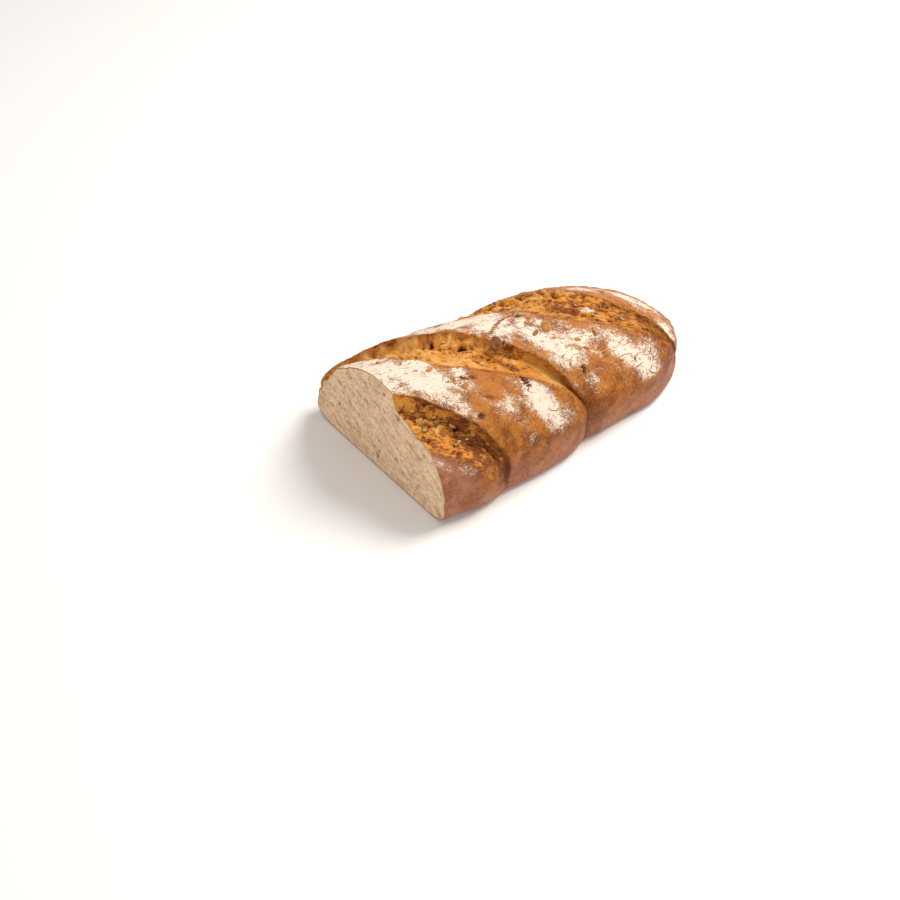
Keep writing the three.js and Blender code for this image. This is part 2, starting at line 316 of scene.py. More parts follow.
# ridge: where the ridge lies across; bend: how it curves on, past bend_from; middle, half: the slash's lens
# along t; width: of the torn band; plump: shape of the lens; lift: height of the ridge; reach: length of
# the lifted skin beyond it on the front side, and reach_behind on the back; over: how far the ridge leans
# over the band; deep: depth of the band; calmed: how much smoother the torn dough is towards the front;
# crease: depth of the fold past the front end; ragged: how far the edges stray; closes: the strength up to
# which the band still has whole skin; seed: of its unevenness.
SlashForm = namedtuple(
    "SlashForm",
    "ridge bend bend_from middle half width plump lift reach reach_behind over deep calmed crease ragged"
    " closes seed",
)
LEAST_BAND, BAND_SETTLES = 4.0, 3  # width that a closed slash keeps, and how smoothly it gets there
FULLY_RAGGED = 4  # a slash's edges stray in full once it is open by the inverse of this
RIDGE_STRAYS = (9, 3.5, 71)  # wavelengths and seed
LIP_STRAYS = (7, 3, 73)
SLASH_FOOT = (6, 28)  # heights between which a slash dies out on the flank
RIDGE_FALLS = 0.35  # share of the band in which the lifted ridge ends
LIP_FROM, LIP_HEIGHT, LIP_WIDTH = 0.6, 0.8, 5.0  # share of the band where the lower lip begins, and its size
EDGE_WIDTHS = (0.7, 1.8)  # of the scorched ridge, on the skin and in the band
LIP_EDGE, FOLD_EDGE = 1.3, 1.4  # widths of the scorched lip and of the painted shade in the crease
TEAR_OPENS = 0.3  # strength that a slash gains from whole skin to torn dough
REACH_CHANGES = 30  # distance from a slash's middle over which reach_behind turns into reach
UNDERCUT = 0.17  # share of the band that the wall under the ridge takes
BAND_RISES = 3.5  # exponent by which the band's floor rises to the lip
CALM = (66, 100)  # stretch along t over which torn dough gets smoother
FRAYS, FRAYS_UNTIL = (-0.02, 0.06), 6  # shares of the band where strands begin, and exponent of their end
FOLDS = ((8.0, 0.66), (1.7, 0.3))  # widths of the crease past a slash's end, and shares of its depth
FOLD_PAST = 0.35  # how far open a slash still has a crease
LEAN_AT = (-4.0, -2.2, 0.0, 4.0, 10.0)  # distances from the ridge
LEAN_BY = (0.0, 0.6, -1.0, -0.35, 0.0)  # how far the skin leans towards the band there


class Slash(SlashForm):
    def openness(self, t):
        """1 in the middle of the slash, and 0 past its ends."""
        return np.maximum(1 - ((t - self.middle) / self.half) ** 2, 0) ** self.plump

    def band_width(self, t):
        wide = self.width * self.openness(t)
        return (wide + LEAST_BAND + np.hypot(wide - LEAST_BAND, BAND_SETTLES)) / 2

    def even_ridge(self, t):
        return self.ridge - self.bend * np.maximum(t - self.bend_from, 0) ** 2

    def strayed(self, t, wide, fine, seed):
        """How far a ragged edge strays from its even line."""
        stray = noise(t / wide, self.seed, 0, seed) + 0.5 * noise(t / fine, self.seed, 0, seed + 1)
        return self.ragged * stray * np.minimum(self.openness(t) * FULLY_RAGGED, 1)

    def ridge_line(self, t):
        return self.even_ridge(t) + self.strayed(t, *RIDGE_STRAYS)

    def lower_line(self, t):
        return self.even_ridge(t) - self.band_width(t) + self.strayed(t, *LIP_STRAYS)


SLASHES = (
    Slash(
        ridge=-10.5, bend=0.0003, bend_from=0, middle=10, half=78, width=30, plump=1.0, lift=3.5, reach=32,
        reach_behind=32, over=1.5, deep=8.5, calmed=0, crease=1.8, ragged=0.7, closes=0.4, seed=1,
    ),
    Slash(
        ridge=55, bend=0.00085, bend_from=0, middle=22, half=106, width=33, plump=1.3, lift=4.0, reach=45,
        reach_behind=10, over=2.0, deep=5.5, calmed=0.55, crease=4.6, ragged=0.9, closes=0.2, seed=2,
    ),
    Slash(
        ridge=136, bend=0.0016, bend_from=85, middle=65, half=130, width=48, plump=1.15, lift=1.6, reach=45,
        reach_behind=45, over=1.5, deep=4.0, calmed=0, crease=0, ragged=0.9, closes=0.2, seed=3,
    ),
)

LUMPS = ((30, 1.2, 3), (13, 0.5, 5))  # size, height and seed
CRAGS = ((22, 7, 2.0, 11), (9, 5, 1.3, 17))  # length along, width across, height and seed
WANDER = ((12, 9, 3.0), (4, 3, 1.3))  # of the strands: length along, width across, and how far
STRANDS = ((11, 5.0, 0.75), (5.0, 2.3, 0.55))  # length, width, and share of the strands' height
GRIT = (1.9, 1.4, 0.3)
LEDGES = (8.5, 14, 0.8)  # distance between ledges across, wavelength of their stray along, and share
PEBBLES = (5.2, 3.4)  # distances along and across between the spots that may hold a blister or a pit
BLISTERS = (0.7, 0.1)  # share of the strands' height, and the number below which a spot has one
PITS = (2.2, 0.42)  # depth, and the number above which a spot has one
BLISTER_EDGE, PIT_EDGE = (0.55, 0.15), (0.42, 0.2)  # from the middle, where they end and where they are whole
HOLES_STRAY = (1.5, 0.25)  # size and amount of the stray of the holes' outlines
HOLE_EDGE, PATCH_EDGE, DENT_EDGE = (1.15, 0.6), (1.35, 0.35), (1.2, 0.5)  # the same, from an oval's middle
BARE_EDGE, DULL_EDGE = (1.3, 0.4), (1.2, 0.6)
HOLES = (  # in the torn bands: t, p, half length, half width, depth
    (47, 45, 3.4, 2.0, 3.2),
    (51, 41.5, 2.6, 1.9, 3.0),
    (57, 34, 3.2, 1.6, 2.6),
    (52, 24.5, 3.0, 1.7, 2.4),
    (41, 38, 2.2, 1.4, 2.0),
    (59, 40.7, 2.8, 1.5, 2.6),
    (101, 130, 4.2, 2.6, 3.4),
    (124, 108, 3.6, 2.0, 2.8),
    (131, 104, 3.0, 1.8, 2.6),
    (118, 112, 2.6, 1.8, 2.2),
    (139, 112, 2.6, 1.6, 2.2),
    (35, -21, 2.8, 1.8, 2.2),
    (55, -30, 3.4, 1.8, 2.6),
    (12, -24, 2.2, 1.6, 2.0),
    (-20, 44, 3.2, 1.8, 2.4),
    (10, 40, 3.0, 1.7, 2.2),
    (62, 118, 3.4, 2.0, 2.6),
)
DENTS = (  # in the skin: t, p, half length, half width, heading in degrees, depth
    (72, 50, 3.4, 1.8, -60, 1.6),
    (78.5, 83, 2.6, 1.5, 20, 1.3),
    (73.5, 82, 4.2, 0.9, 45, 0.7),
    (68.5, 75, 5.4, 0.9, 64, 0.7),
    (65, 66.5, 4.8, 0.9, 72, 0.7),
    (63.2, 59.5, 3.8, 0.9, 79, 0.7),
    (131.7, 77.3, 1.3, 1.1, 0, 1.0),
    (123.4, 72.2, 2.8, 0.8, -20, 0.7),
    (51, 14.4, 3.2, 1.1, 10, 1.1),
    (56, 17, 2.4, 1.2, -20, 1.0),
    (22, 11, 1.0, 0.8, 0, 0.5),
    (67, 7, 4.0, 1.1, 12, 0.9),
    (63, -6, 2.6, 1.5, 40, 1.1),
    (87.5, 28, 4.4, 1.5, -25, 1.3),
    (123, 56.5, 2.8, 1.3, -60, 1.3),
    (135.8, 74.3, 3.8, 0.9, -60, 0.9),
    (137, 47, 2.0, 0.9, -60, 0.9),
    (20, 82, 2.4, 1.2, 30, 0.8),
    (-30, 90, 2.0, 1.2, 70, 0.8),
)


def oval(p, t, at_t, at_p, half_t, half_p, heading=0.0):
    """How far a place lies from an oval's middle: 1 on its edge."""
    turn = math.radians(heading)
    dt, dp = t - at_t, p - at_p
    along = dt * math.cos(turn) + dp * math.sin(turn)
    across = dp * math.cos(turn) - dt * math.sin(turn)
    return np.hypot(along / half_t, across / half_p)


def hill(distance, width):
    """1 in the middle, falling away like a bell."""
    return np.exp(-((distance / width) ** 2))


def craggy(p, t, z):
    """The coarse crags of the torn dough."""
    return sum(h * noise(t / along, p / across, z / along, seed) for along, across, h, seed in CRAGS)


def torn_strands(slash, p, t, z, strand_height):
    """The fine relief of torn dough: strands and ledges along the slash, blisters, pits and holes."""
    seed = 100 * slash.seed
    q = p
    for k, (along, across, far) in enumerate(WANDER):
        q = q + far * noise(t / along, p / across, z / along, seed + k)
    relief = 0
    for k, (along, across, part) in enumerate(STRANDS):
        relief = relief + part * creased(t / along, q / across, z / along, seed + 2 + k)
    along, across, part = GRIT
    relief = relief + part * noise(t / along, p / across, z / along, seed + 4)
    apart, along, part = LEDGES
    ledge = (q / apart + 0.5 * noise(t / along, 0, 0, seed + 5)) % 1.0
    relief = strand_height * (relief + part * (ledge**1.5 - 0.4))
    along, across = PEBBLES
    near, kind = pebbles(t / along, q / across, z / along, seed + 6)
    relief += strand_height * BLISTERS[0] * smooth(*BLISTER_EDGE, near) * (kind < BLISTERS[1])
    relief -= PITS[0] * smooth(*PIT_EDGE, near) * (kind > PITS[1])
    size, amount = HOLES_STRAY
    wobble = amount * noise(t / size, p / size, 0, seed + 10)
    for *place, deep in HOLES:
        relief -= deep * smooth(*HOLE_EDGE, oval(p, t, *place) + wobble)
    return relief


def slash_relief(slash, p, t, z, strand_height):
    """How one slash moves the skin outward and across, and what it does to its looks."""
    opened = slash.openness(t) * smooth(*SLASH_FOOT, z)
    strength = np.sqrt(opened)
    distance = p - slash.ridge_line(t)
    width = np.maximum(slash.ridge_line(t) - slash.lower_line(t), 1.0)
    depth = -distance / width
    front = smooth(slash.middle - REACH_CHANGES, slash.middle + REACH_CHANGES, t)
    reach = slash.reach_behind + (slash.reach - slash.reach_behind) * front
    beyond = slash.lift * np.maximum(1 - (distance / reach) ** 2, 0)
    within = slash.lift * np.maximum(1 - depth / RIDGE_FALLS, 0) ** 1.5
    out = np.where(distance > 0, beyond, within)
    band = (depth > 0) & (depth < 1)
    inside = np.clip(depth, 0, 1)
    trough = smooth(0, UNDERCUT, inside) * (1 - inside**BAND_RISES) * band
    out = out + (craggy(p, t, z) - slash.deep) * trough
    calm = 1 - slash.calmed * smooth(*CALM, t)
    frayed = smooth(*FRAYS, inside) * (1 - inside**FRAYS_UNTIL) * band * calm
    fine = torn_strands(slash, p, t, z, strand_height) * frayed
    from_lip, from_fold = (depth - 1) * width, distance + 1
    out = out + fine + (depth > LIP_FROM) * LIP_HEIGHT * hill(from_lip, LIP_WIDTH)
    past = (1 - smooth(0, FOLD_PAST, opened)) * (t > slash.middle)
    fold = sum(part * hill(from_fold, wide) for wide, part in FOLDS) * smooth(-6, 2, z)
    browned = smooth(0.1, 0.5, strength)
    return {
        "out": out * strength - slash.crease * past * fold,
        "across": slash.over * strength * np.interp(distance, LEAN_AT, LEAN_BY),
        "torn": band * smooth(slash.closes, slash.closes + TEAR_OPENS, strength),
        "depth": inside,
        "fine": fine * strength,
        "edge": hill(distance, np.where(distance > 0, *EDGE_WIDTHS)) * browned,
        "lower": hill(from_lip, LIP_EDGE) * browned,
        "fold": past * hill(from_fold, FOLD_EDGE) * (slash.crease > 0),
    }


# ---------------------------------------------------------------- where flour lies and dough baked dark

SPRINKLE = 0.14  # of flour everywhere on the top
FLOUR = (  # t, p, half length along t, half width, heading, thickness
    (8, 7, 48, 19, 4, 1.5),
    (46, -3, 20, 10, -12, 1.0),
    (-14, 22, 32, 15, 0, 1.1),
    (46, 12, 26, 13, 0, 0.75),
    (101, 22, 27, 11, 4, 1.2),
    (76, 9, 26, 13, 0, 0.78),
    (42, 76, 60, 24, -2, 1.4),
    (98, 64, 34, 17, -12, 1.1),
    (152, 88, 34, 18, -6, 1.0),
    (122, 80, 28, 17, 0, 0.9),
    (150, 152, 36, 15, -28, 0.95),
    (176, 128, 18, 9, -60, 1.0),
    (118, 150, 18, 11, 0, 1.0),
    (-20, 76, 34, 16, 8, 0.95),
    (40, 160, 40, 14, 10, 0.75),
    (70, 168, 24, 10, 0, 0.6),
    (44, -39, 8, 2.4, 8, 1.1),
    (57, -33, 8, 1.5, 28, 0.8),
)
IN_THE_TEAR = (124, 118, 6, 3.2, 20, 1.3)  # the one patch of flour that lies on torn dough
BARE = (  # t, p, half length, half width, heading, strength
    (66, 18, 9, 12, 12, 0.75),
    (112, 92, 18, 4, -8, 0.35),
    (78, -6, 12, 6, 0, 0.5),
    (62, 29, 14, 5, -8, 0.6),
)
TOAST = (  # of the torn dough: t, p, half length, half width, how much darker (or lighter) it baked; some lighter patches are partly painted light
    (36, -14, 30, 6, 0.15),
    (60, -18, 16, 7, 0.9),
    (86, -12, 8, 8, -0.6),
    (22, -28, 24, 9, -0.15),
    (46, -33, 16, 7, 0.2),
    # partly painted light: lifts the wall under the middle slash's ridge out of its shade
    (8, 50, 50, 9, -0.8),
    (44, 29, 24, 10, -0.7),
    (30, 24, 20, 6, -0.6),
    # partly painted light: lifts the wall under the middle slash's ridge out of its shade
    (98, 45, 18, 6, -0.7),
    (108, 37, 16, 8, -1.0),
    (84, 108, 14, 12, -0.1),
    (50, 108, 20, 20, 0.1),
    (108, 114, 14, 10, 1.2),
    (138, 120, 26, 11, 0.4),
    (165, 102, 12, 6, -0.2),
    (175, 116, 14, 10, 0.45),
)
SCORCHED = (  # along the slashes' edges: t, p, half length, half width, strength
    (54, -12, 30, 9, 0.6),
    (102, 46, 30, 9, 0.5),
    (170, 116, 14, 8, 0.4),
)
SCORCH_ELSEWHERE = 0.12
# the scorched lower lip; the darkening of the fold and of the dents is painted shade
SCORCHED_LIP, FOLD_SHADE, DENT_SHADE = 0.25, 0.6, 0.6
TANNED = (  # of the skin, the same way as the torn dough
    (58, -44, 26, 14, 0.1),
    (148, 58, 18, 10, -0.25),
    (60, 4, 16, 14, -0.15),
    (92, 8, 26, 14, -0.1),
    (176, 100, 20, 16, 0.4),
    (112, 90, 20, 5, -0.2),
    (128, 50, 14, 10, 0.15),
)
DULL = (56, -46, 46, 17, 8, 0.85)  # the skin that takes the foot's dull tint, partly painted reflection, given as a patch of flour is
# the next two and others below are given by how far up the skin faces: 1 on top, 0 where it is upright
STEEPENS = (0.85, 0.3)  # where it gets browner
FLOUR_STAYS = (0.02, 0.4)  # where flour begins to stay, and where all of it does
FLOUR_UNEVEN = ((12, 9, 0.34, 41), (5, 4, 0.2, 42))  # length along, width across, amount and seed
FLOUR_MOTTLED = ((3, 2.4, 0.22, 43),)
TOAST_MOTTLED = ((9, 4, 0.35, 51), (3.6, 2.2, 0.3, 52))
TAN_MOTTLED = ((9, 0.3, 54), (3.2, 0.22, 55))  # size, amount and seed
# the darkening just under the ridge is partly painted shade under the ear
TOAST_LEVEL, SHADE_AND_TOAST_UNDER_RIDGE, TAN_LEVEL, TANNED_FLANKS = 0.3, 0.08, 0.26, 0.42
FLOUR_FADES = (1.05, 1.8)  # how soon a patch thins out from its middle, and how abruptly at its edge


def mottled(p, t, layers):
    return sum(amount * noise(t / along, p / across, 0, seed) for along, across, amount, seed in layers)


def flour_thickness(p, t, rise):
    """Flour on the skin, thickest in the patches where it was shaken on, none on steep flanks."""
    thick = np.full(np.shape(p), SPRINKLE)
    uneven = mottled(p, t, FLOUR_UNEVEN)
    soon, abrupt = FLOUR_FADES
    for *place, amount in FLOUR:
        spread = np.maximum(oval(p, t, *place) + uneven, 0)
        thick = np.maximum(thick, amount * np.exp(-soon * spread**abrupt))
    for *place, amount in BARE:
        thick = thick * (1 - amount * smooth(*BARE_EDGE, oval(p, t, *place) + uneven))
    return thick * (1 + mottled(p, t, FLOUR_MOTTLED)) * smooth(*FLOUR_STAYS, rise)


def patched(patches, p, t, whole):
    """A field that is raised by each patch's amount."""
    for *place, amount in patches:
        whole = whole + amount * smooth(*PATCH_EDGE, oval(p, t, *place))
    return whole


UNDER_RIDGE = (0.3, 0.02)  # shares of the band between which the darkening under the ridge grows, partly browning and partly painted shade


def toasting(p, t, depth):
    """How dark torn dough baked, with patches of its own; darker just under the ridge, partly as painted
    shade under the ear.
    """
    browned = TOAST_LEVEL + SHADE_AND_TOAST_UNDER_RIDGE * smooth(*UNDER_RIDGE, depth) + mottled(p, t, TOAST_MOTTLED)
    return patched(TOAST, p, t, browned)


def tanning(p, t, z, rise):
    """How brown the skin baked: golden on top, browner on the flanks, and mottled."""
    browned = TAN_LEVEL + TANNED_FLANKS * smooth(*STEEPENS, rise)
    for size, amount, seed in TAN_MOTTLED:
        browned = browned + amount * noise(t / size, p / size, z / size, seed)
    return patched(TANNED, p, t, browned)


MASKS = ("torn", "toast", "hollow", "crest", "scorch", "flour", "foot")
LEAST_LEVEL = 0.25  # least length of the level direction in the skin before it is made a unit
UPPER = (-0.75, -0.35)  # how far up the skin faces where the relief begins
FLANKS = (0.75, 0.3)  # where a flank begins
TUCKED = (0.15, -0.25)  # where the underside of the round end begins
HOLLOWS, CRESTS = (-0.8, -2.2), (0.0, 1.7)  # heights of the fine relief that get painted shade as hollows, and a painted highlight as crests
GRAINS = ((3.0, 0.24, 61), (1.6, 0.16, 62))  # of the skin: size, height and seed
BUBBLES = (5.5, 0.5, 0.35)  # in the skin: size, height, and depth between them
BUBBLE_EDGE, DIP_EDGE, BUBBLE_SEED = (0.3, 0.75), (0.35, 0.8), 64
HOLLOW_DENTS = (0.7, 1.3)  # depths of the dents at which painted shade begins, and at which it is whole
OFF_BASE = (-2, 12)  # heights between which the relief sets in above the base
END_SWELLS = 0.8  # share of the round end over which its swelling grows
FLOUR_BURNT = 0.6  # share of the flour that is gone where the crust is scorched
FOOT_LEVELS = (30, 6)  # heights between which the skin takes the foot's dull tint, partly painted reflection
FOOT_STRAYS = (18, 5, 63)  # size, amount and seed of that edge's stray
MOST_MASK = 1.2


def even_noise(x, y, z, size, seed):
    return noise(x / size, y / size, z / size, seed)


def swelling(loaf, x, y, z, rise, upper):
    """How far the front flank, the round end and the broad lumps stand out from the smooth loaf."""
    in_front = smooth(FRONT_FROM, -FRONT_FROM, y) * smooth(0, FOOT_SETTLES, x)
    at_end = smooth(loaf.end_from, loaf.end_from + END_SWELLS * loaf.end_length, x)
    out = loaf.flank_swell * in_front * smooth(*FLANKS, rise) * upper
    out += loaf.end_swell * at_end * smooth(*TUCKED, rise) * upper
    lumps = sum(height * even_noise(x, y, z, size, seed) for size, height, seed in LUMPS)
    return out + lumps * smooth(*OFF_BASE, z)


def skin_grain(x, y, z):
    """The fine relief of the baked skin: grains, low bubbles, and shallow dips between them."""
    size, height, deep = BUBBLES
    bubbles = even_noise(x, y, z, size, BUBBLE_SEED)
    relief = height * smooth(*BUBBLE_EDGE, bubbles) - deep * smooth(*DIP_EDGE, -bubbles)
    for size, height, seed in GRAINS:
        relief += height * even_noise(x, y, z, size, seed)
    return relief * smooth(*OFF_BASE, z)


def dents(p, t, rise):
    """How deep the skin is dented, how far a place lies in a dent, and how much painted shade it gets."""
    total, within, dark = np.zeros((3, len(p)))
    for *place, deep in DENTS:
        dent = smooth(*DENT_EDGE, oval(p, t, *place)) * (rise > 0)
        total += deep * dent
        within = np.maximum(within, dent)
        dark = np.maximum(dark, dent * smooth(*HOLLOW_DENTS, deep))
    return total, within, dark


def shaped(loaf, points, strand_height):
    """Moves points of the smooth loaf to the slashed one, and gives each its masks."""
    x, y, z = points.T
    p, t = (x + y) / SQRT2, (x - y) / SQRT2
    normal = loaf.outward(x, y, z)
    level = np.array([1, 1, 0]) / SQRT2
    across = level - normal * (normal @ level)[:, None]
    across /= np.maximum(np.linalg.norm(across, axis=1, keepdims=True), LEAST_LEVEL)
    rise = normal[:, 2]
    upper = smooth(*UPPER, rise)
    out, shift = np.zeros(len(points)), np.zeros(len(points))
    masks = {name: np.zeros(len(points)) for name in MASKS}
    scorched = np.clip(patched(SCORCHED, p, t, SCORCH_ELSEWHERE), 0, 1)
    for slash in SLASHES:
        relief = slash_relief(slash, p, t, z, strand_height)
        out += relief["out"] * upper
        shift += relief["across"] * upper
        torn = relief["torn"] * upper
        masks["torn"] = np.maximum(masks["torn"], torn)
        masks["toast"] += toasting(p, t, relief["depth"]) * (torn > 0)
        # painted shade in the holes, pits and low strands of the torn dough
        masks["hollow"] += smooth(*HOLLOWS, relief["fine"]) * torn
        # painted highlight on the raised strands of torn dough
        masks["crest"] += smooth(*CRESTS, relief["fine"]) * torn
        # scorched ridges and lips, and painted shade in the crease past a slash
        scorch = relief["edge"] * scorched + relief["lower"] * SCORCHED_LIP + relief["fold"] * FOLD_SHADE
        masks["scorch"] += scorch * upper
    skin = 1 - masks["torn"]
    total, within, dark = dents(p, t, rise)
    out += swelling(loaf, x, y, z, rise, upper) + skin_grain(x, y, z) * skin - total
    # painted shade in the deeper dents of the skin
    masks["hollow"] = np.maximum(masks["hollow"], dark * skin)
    # painted shade in the dents, in the scorched colour
    masks["scorch"] += DENT_SHADE * within * skin
    masks["toast"] = np.where(masks["torn"] > 0, masks["toast"], tanning(p, t, z, rise))
    caught = (1 - FLOUR_BURNT * np.clip(masks["scorch"], 0, 1)) * (1 - within * skin)
    flour = flour_thickness(p, t, rise) * skin * caught
    *place, amount = IN_THE_TEAR
    masks["flour"] = np.maximum(flour, amount * hill(oval(p, t, *place), 1))
    # the foot: where the skin takes a dull pinkish tint, partly painted reflected light
    size, amount, seed = FOOT_STRAYS
    masks["foot"] = smooth(*FOOT_LEVELS, z + amount * even_noise(x, y, z, size, seed))
    *place, amount = DULL
    masks["foot"] = np.maximum(masks["foot"], amount * smooth(*DULL_EDGE, oval(p, t, *place)) * skin)
    moved = points + normal * out[:, None] + across * shift[:, None]
    least = {"toast": -1}  # lighter than the lightest dough that toasting() makes by itself
    return moved, {name: np.clip(value, least.get(name, 0), MOST_MASK) for name, value in masks.items()}


# ---------------------------------------------------------------- the net of rings that carries the skin

FIRST_RING = -54.0  # where across the first ring lies, in front of the sliced end
LAST_BETWEEN, LAST_INSIDE = (150.0, 220.0), 0.3  # where the last is looked for, and how far inside it stays
ROWS = 0.62  # millimetres between neighbouring rings in a band
SKIN_ROWS = 1.15  # and elsewhere
SKIN_WIDTHS = (18, 34, 34, 50)  # of the skin before the first slash, between two, and past the last
ROUND_STEP = 0.79  # millimetres between the points of a ring
UNDER_STEPS = (29, 32, 36, 41, 48, 58, 72)  # degrees below the waist of the few points under each side
WALL_UNDER = 26  # degrees below the waist down to which the points stay close
SEARCH_STEP = 0.5
SEARCH = np.arange(-160, 330, SEARCH_STEP)  # where along a line the loaf is looked for
MOST_REACH = 1.6  # of a ring, as a share of half its width and height
FINE_ANGLES = 4001  # from which the even distances are worked out


def ring_angles(loaf):
    """Angles round a ring, with points at even distances down to the base and few under it."""
    fine = np.radians(np.linspace(-WALL_UNDER, 180 + WALL_UNDER, FINE_ANGLES))
    half, high = loaf.half_width * SQRT2, loaf.height - loaf.waist
    steps = np.hypot(half * np.sin(fine), high * np.cos(fine))
    run = np.concatenate([[0], np.cumsum((steps[1:] + steps[:-1]) / 2 * np.diff(fine))])
    over = np.interp(np.linspace(0, run[-1], int(run[-1] / ROUND_STEP)), run, fine)
    under = [180 + a for a in UNDER_STEPS] + [360 - a for a in reversed(UNDER_STEPS)]
    return np.concatenate([over, np.radians(under)])


def rings(loaf, line, angles):
    """Upright slices of the smooth loaf, one for each row of line(t)."""

    def inside(t, z):
        return loaf.field(*on_plan(line(t), t), z) < 0

    rows = line(np.zeros((1, 1))).shape[0]
    hit = inside(np.broadcast_to(SEARCH, (rows, len(SEARCH))), loaf.waist)
    first = SEARCH[hit.argmax(1)][:, None]
    last = SEARCH[len(SEARCH) - 1 - hit[:, ::-1].argmax(1)][:, None]
    start = bisect(first, first - SEARCH_STEP, lambda t: inside(t, loaf.waist))
    end = bisect(last, last + SEARCH_STEP, lambda t: inside(t, loaf.waist))
    centre, half = (start + end) / 2, (end - start) / 2
    dt, dz = half * np.cos(angles), (loaf.height - loaf.waist) * np.sin(angles)
    zero = np.zeros((rows, len(angles)))
    reach = bisect(zero, zero + MOST_REACH, lambda r: inside(centre + r * dt, loaf.waist + r * dz))
    t = centre + reach * dt
    x, y = on_plan(line(t), t)
    return np.stack([x, y, loaf.waist + reach * dz], -1)


def last_ring(loaf):
    """The furthest line across that still meets the loaf."""

    def meets(p):
        return (loaf.field(*on_plan(p, SEARCH), loaf.waist) < 0).any()

    return float(bisect(*map(np.array, LAST_BETWEEN), meets)) - LAST_INSIDE


def between(start, end, shares, t):
    """Lines that lie between two guide lines, at the given shares of the way."""
    return (1 - shares) * start(t) + shares * end(t)


def stretches(loaf):
    """For each stretch between two guide lines: the lines of its rings, as one function of t."""
    guides = [lambda t: FIRST_RING + 0 * t]
    for slash in SLASHES:
        guides += [slash.lower_line, slash.ridge_line]
    end = last_ring(loaf)
    guides.append(lambda t: end + 0 * t)
    widths = [SKIN_WIDTHS[0]]
    for slash, beyond in zip(SLASHES, SKIN_WIDTHS[1:]):
        widths += [slash.width, beyond]
    made = []
    for g, width in enumerate(widths):
        count = int(width / (ROWS if g % 2 else SKIN_ROWS))
        shares = np.arange(count) / count
        if g == len(widths) - 1:
            shares = np.append(np.sin(shares * math.pi / 2), 1.0)
        made.append(partial(between, guides[g], guides[g + 1], shares[:, None]))
    return made


def skin_net(loaf, strand_height):
    """Points, faces, masks and surface coordinates of the whole loaf before it is sliced."""
    angles = ring_angles(loaf)
    net = np.concatenate([rings(loaf, line, angles) for line in stretches(loaf)])
    rows, count = net.shape[:2]
    smooth_points = net.reshape(-1, 3)
    points, masks = shaped(loaf, smooth_points, strand_height)
    points[:, 2] = np.maximum(points[:, 2], 0)
    steps = np.linalg.norm(np.diff(net, axis=1), axis=2)
    run = np.concatenate([np.zeros((rows, 1)), np.cumsum(steps, 1)], 1)
    crest = count // 2
    along = run - run[:, crest : crest + 1]
    over = np.linalg.norm(np.diff(net[:, crest], axis=0), axis=1)
    over = np.concatenate([[0], np.cumsum(over)])
    under = np.broadcast_to(np.arange(count) >= count - 2 * len(UNDER_STEPS), along.shape)
    lie = np.stack([along, np.repeat(over[:, None], count, 1), under], -1).reshape(-1, 3)
    a = (np.arange(rows - 1)[:, None] * count + np.arange(count)).ravel()
    b = (np.arange(rows - 1)[:, None] * count + (np.arange(count) + 1) % count).ravel()
    faces = np.stack([a, a + count, b + count, b], -1)
    ends = [np.arange(count)[::-1], (rows - 1) * count + np.arange(count)]
    return points, faces, ends, masks, lie


# ---------------------------------------------------------------- the cut face

CUT_GRID = 0.95  # millimetres between the points of the cut face
CUT_MARGIN = 0.45  # millimetres that they keep from its outline
CUT_STRAY = 0.18  # millimetres by which they lie off an even grid
CUT_SLOT = 1  # the material slot of the cut face
CRUMB_LEAN = 0.45  # radians by which the crumb's drawn-out pores lean towards the back
PORES_STRAY = (17, 3)  # wavelength and amount
PORES = (  # fine, large: layers of length, height and amount; levels between which one opens; share of depth
    (((2.6, 1.5, 1), (1.3, 1.0, 0.5)), (0.55, 1.1), 0.5),
    (((6.5, 3.0, 1), (2.5, 1.5, 0.4)), (0.78, 1.1), 1.2),
)
ROUGH_CRUMB = ((5, 0.12), (1.4, 0.1))  # wavelength and depth
RIND_SMOOTH = (0.6, 3.0)  # distances from the outline between which the pores set in
HOLLOW_PORES = (0.25, 1.3)  # depths of the pores at which painted shade begins, and at which it is whole


def inside_outline(points, outline):
    """Which points lie inside a closed outline."""
    inside = np.zeros(len(points), bool)
    y, z = points.T
    for (y1, z1), (y2, z2) in zip(outline, np.roll(outline, -1, 0)):
        if z1 == z2:
            continue
        crosses = (z1 > z) != (z2 > z)
        inside ^= crosses & (y < (y2 - y1) * (z - z1) / (z2 - z1) + y1)
    return inside


def distance_to(points, outline):
    """Distance of each point to a closed outline's corners and edge middles."""
    marks = np.concatenate([outline, (outline + np.roll(outline, -1, 0)) / 2])
    parts = np.array_split(points, 24)  # few enough at a time for the memory
    return np.concatenate([np.sqrt(((part[:, None] - marks) ** 2).sum(-1).min(1)) for part in parts])


def pores(grid, rind, deep):
    """How far each point of the cut face is sunk: fine pores, and larger bubbles drawn out by the rise."""
    y, z = grid.T
    across, up = math.cos(CRUMB_LEAN), math.sin(CRUMB_LEAN)
    u, v = y * across + z * up, z * across - y * up
    size, amount = PORES_STRAY
    u = u + amount * noise(y / size, z / size, 0, 81)
    v = v + amount * noise(y / size, z / size, 5, 82)
    sunk, seed = 0, 83
    for layers, edge, share in PORES:
        field = 0
        for long, high, amount in layers:
            field = field + amount * noise(u / long, v / high, 0, seed)
            seed += 1
        sunk = sunk + deep * share * smooth(*edge, field)
    for size, amount in ROUGH_CRUMB:
        sunk += amount * (1 + noise(y / size, z / size, 0, seed))
        seed += 1
    return sunk * smooth(*RIND_SMOOTH, rind)


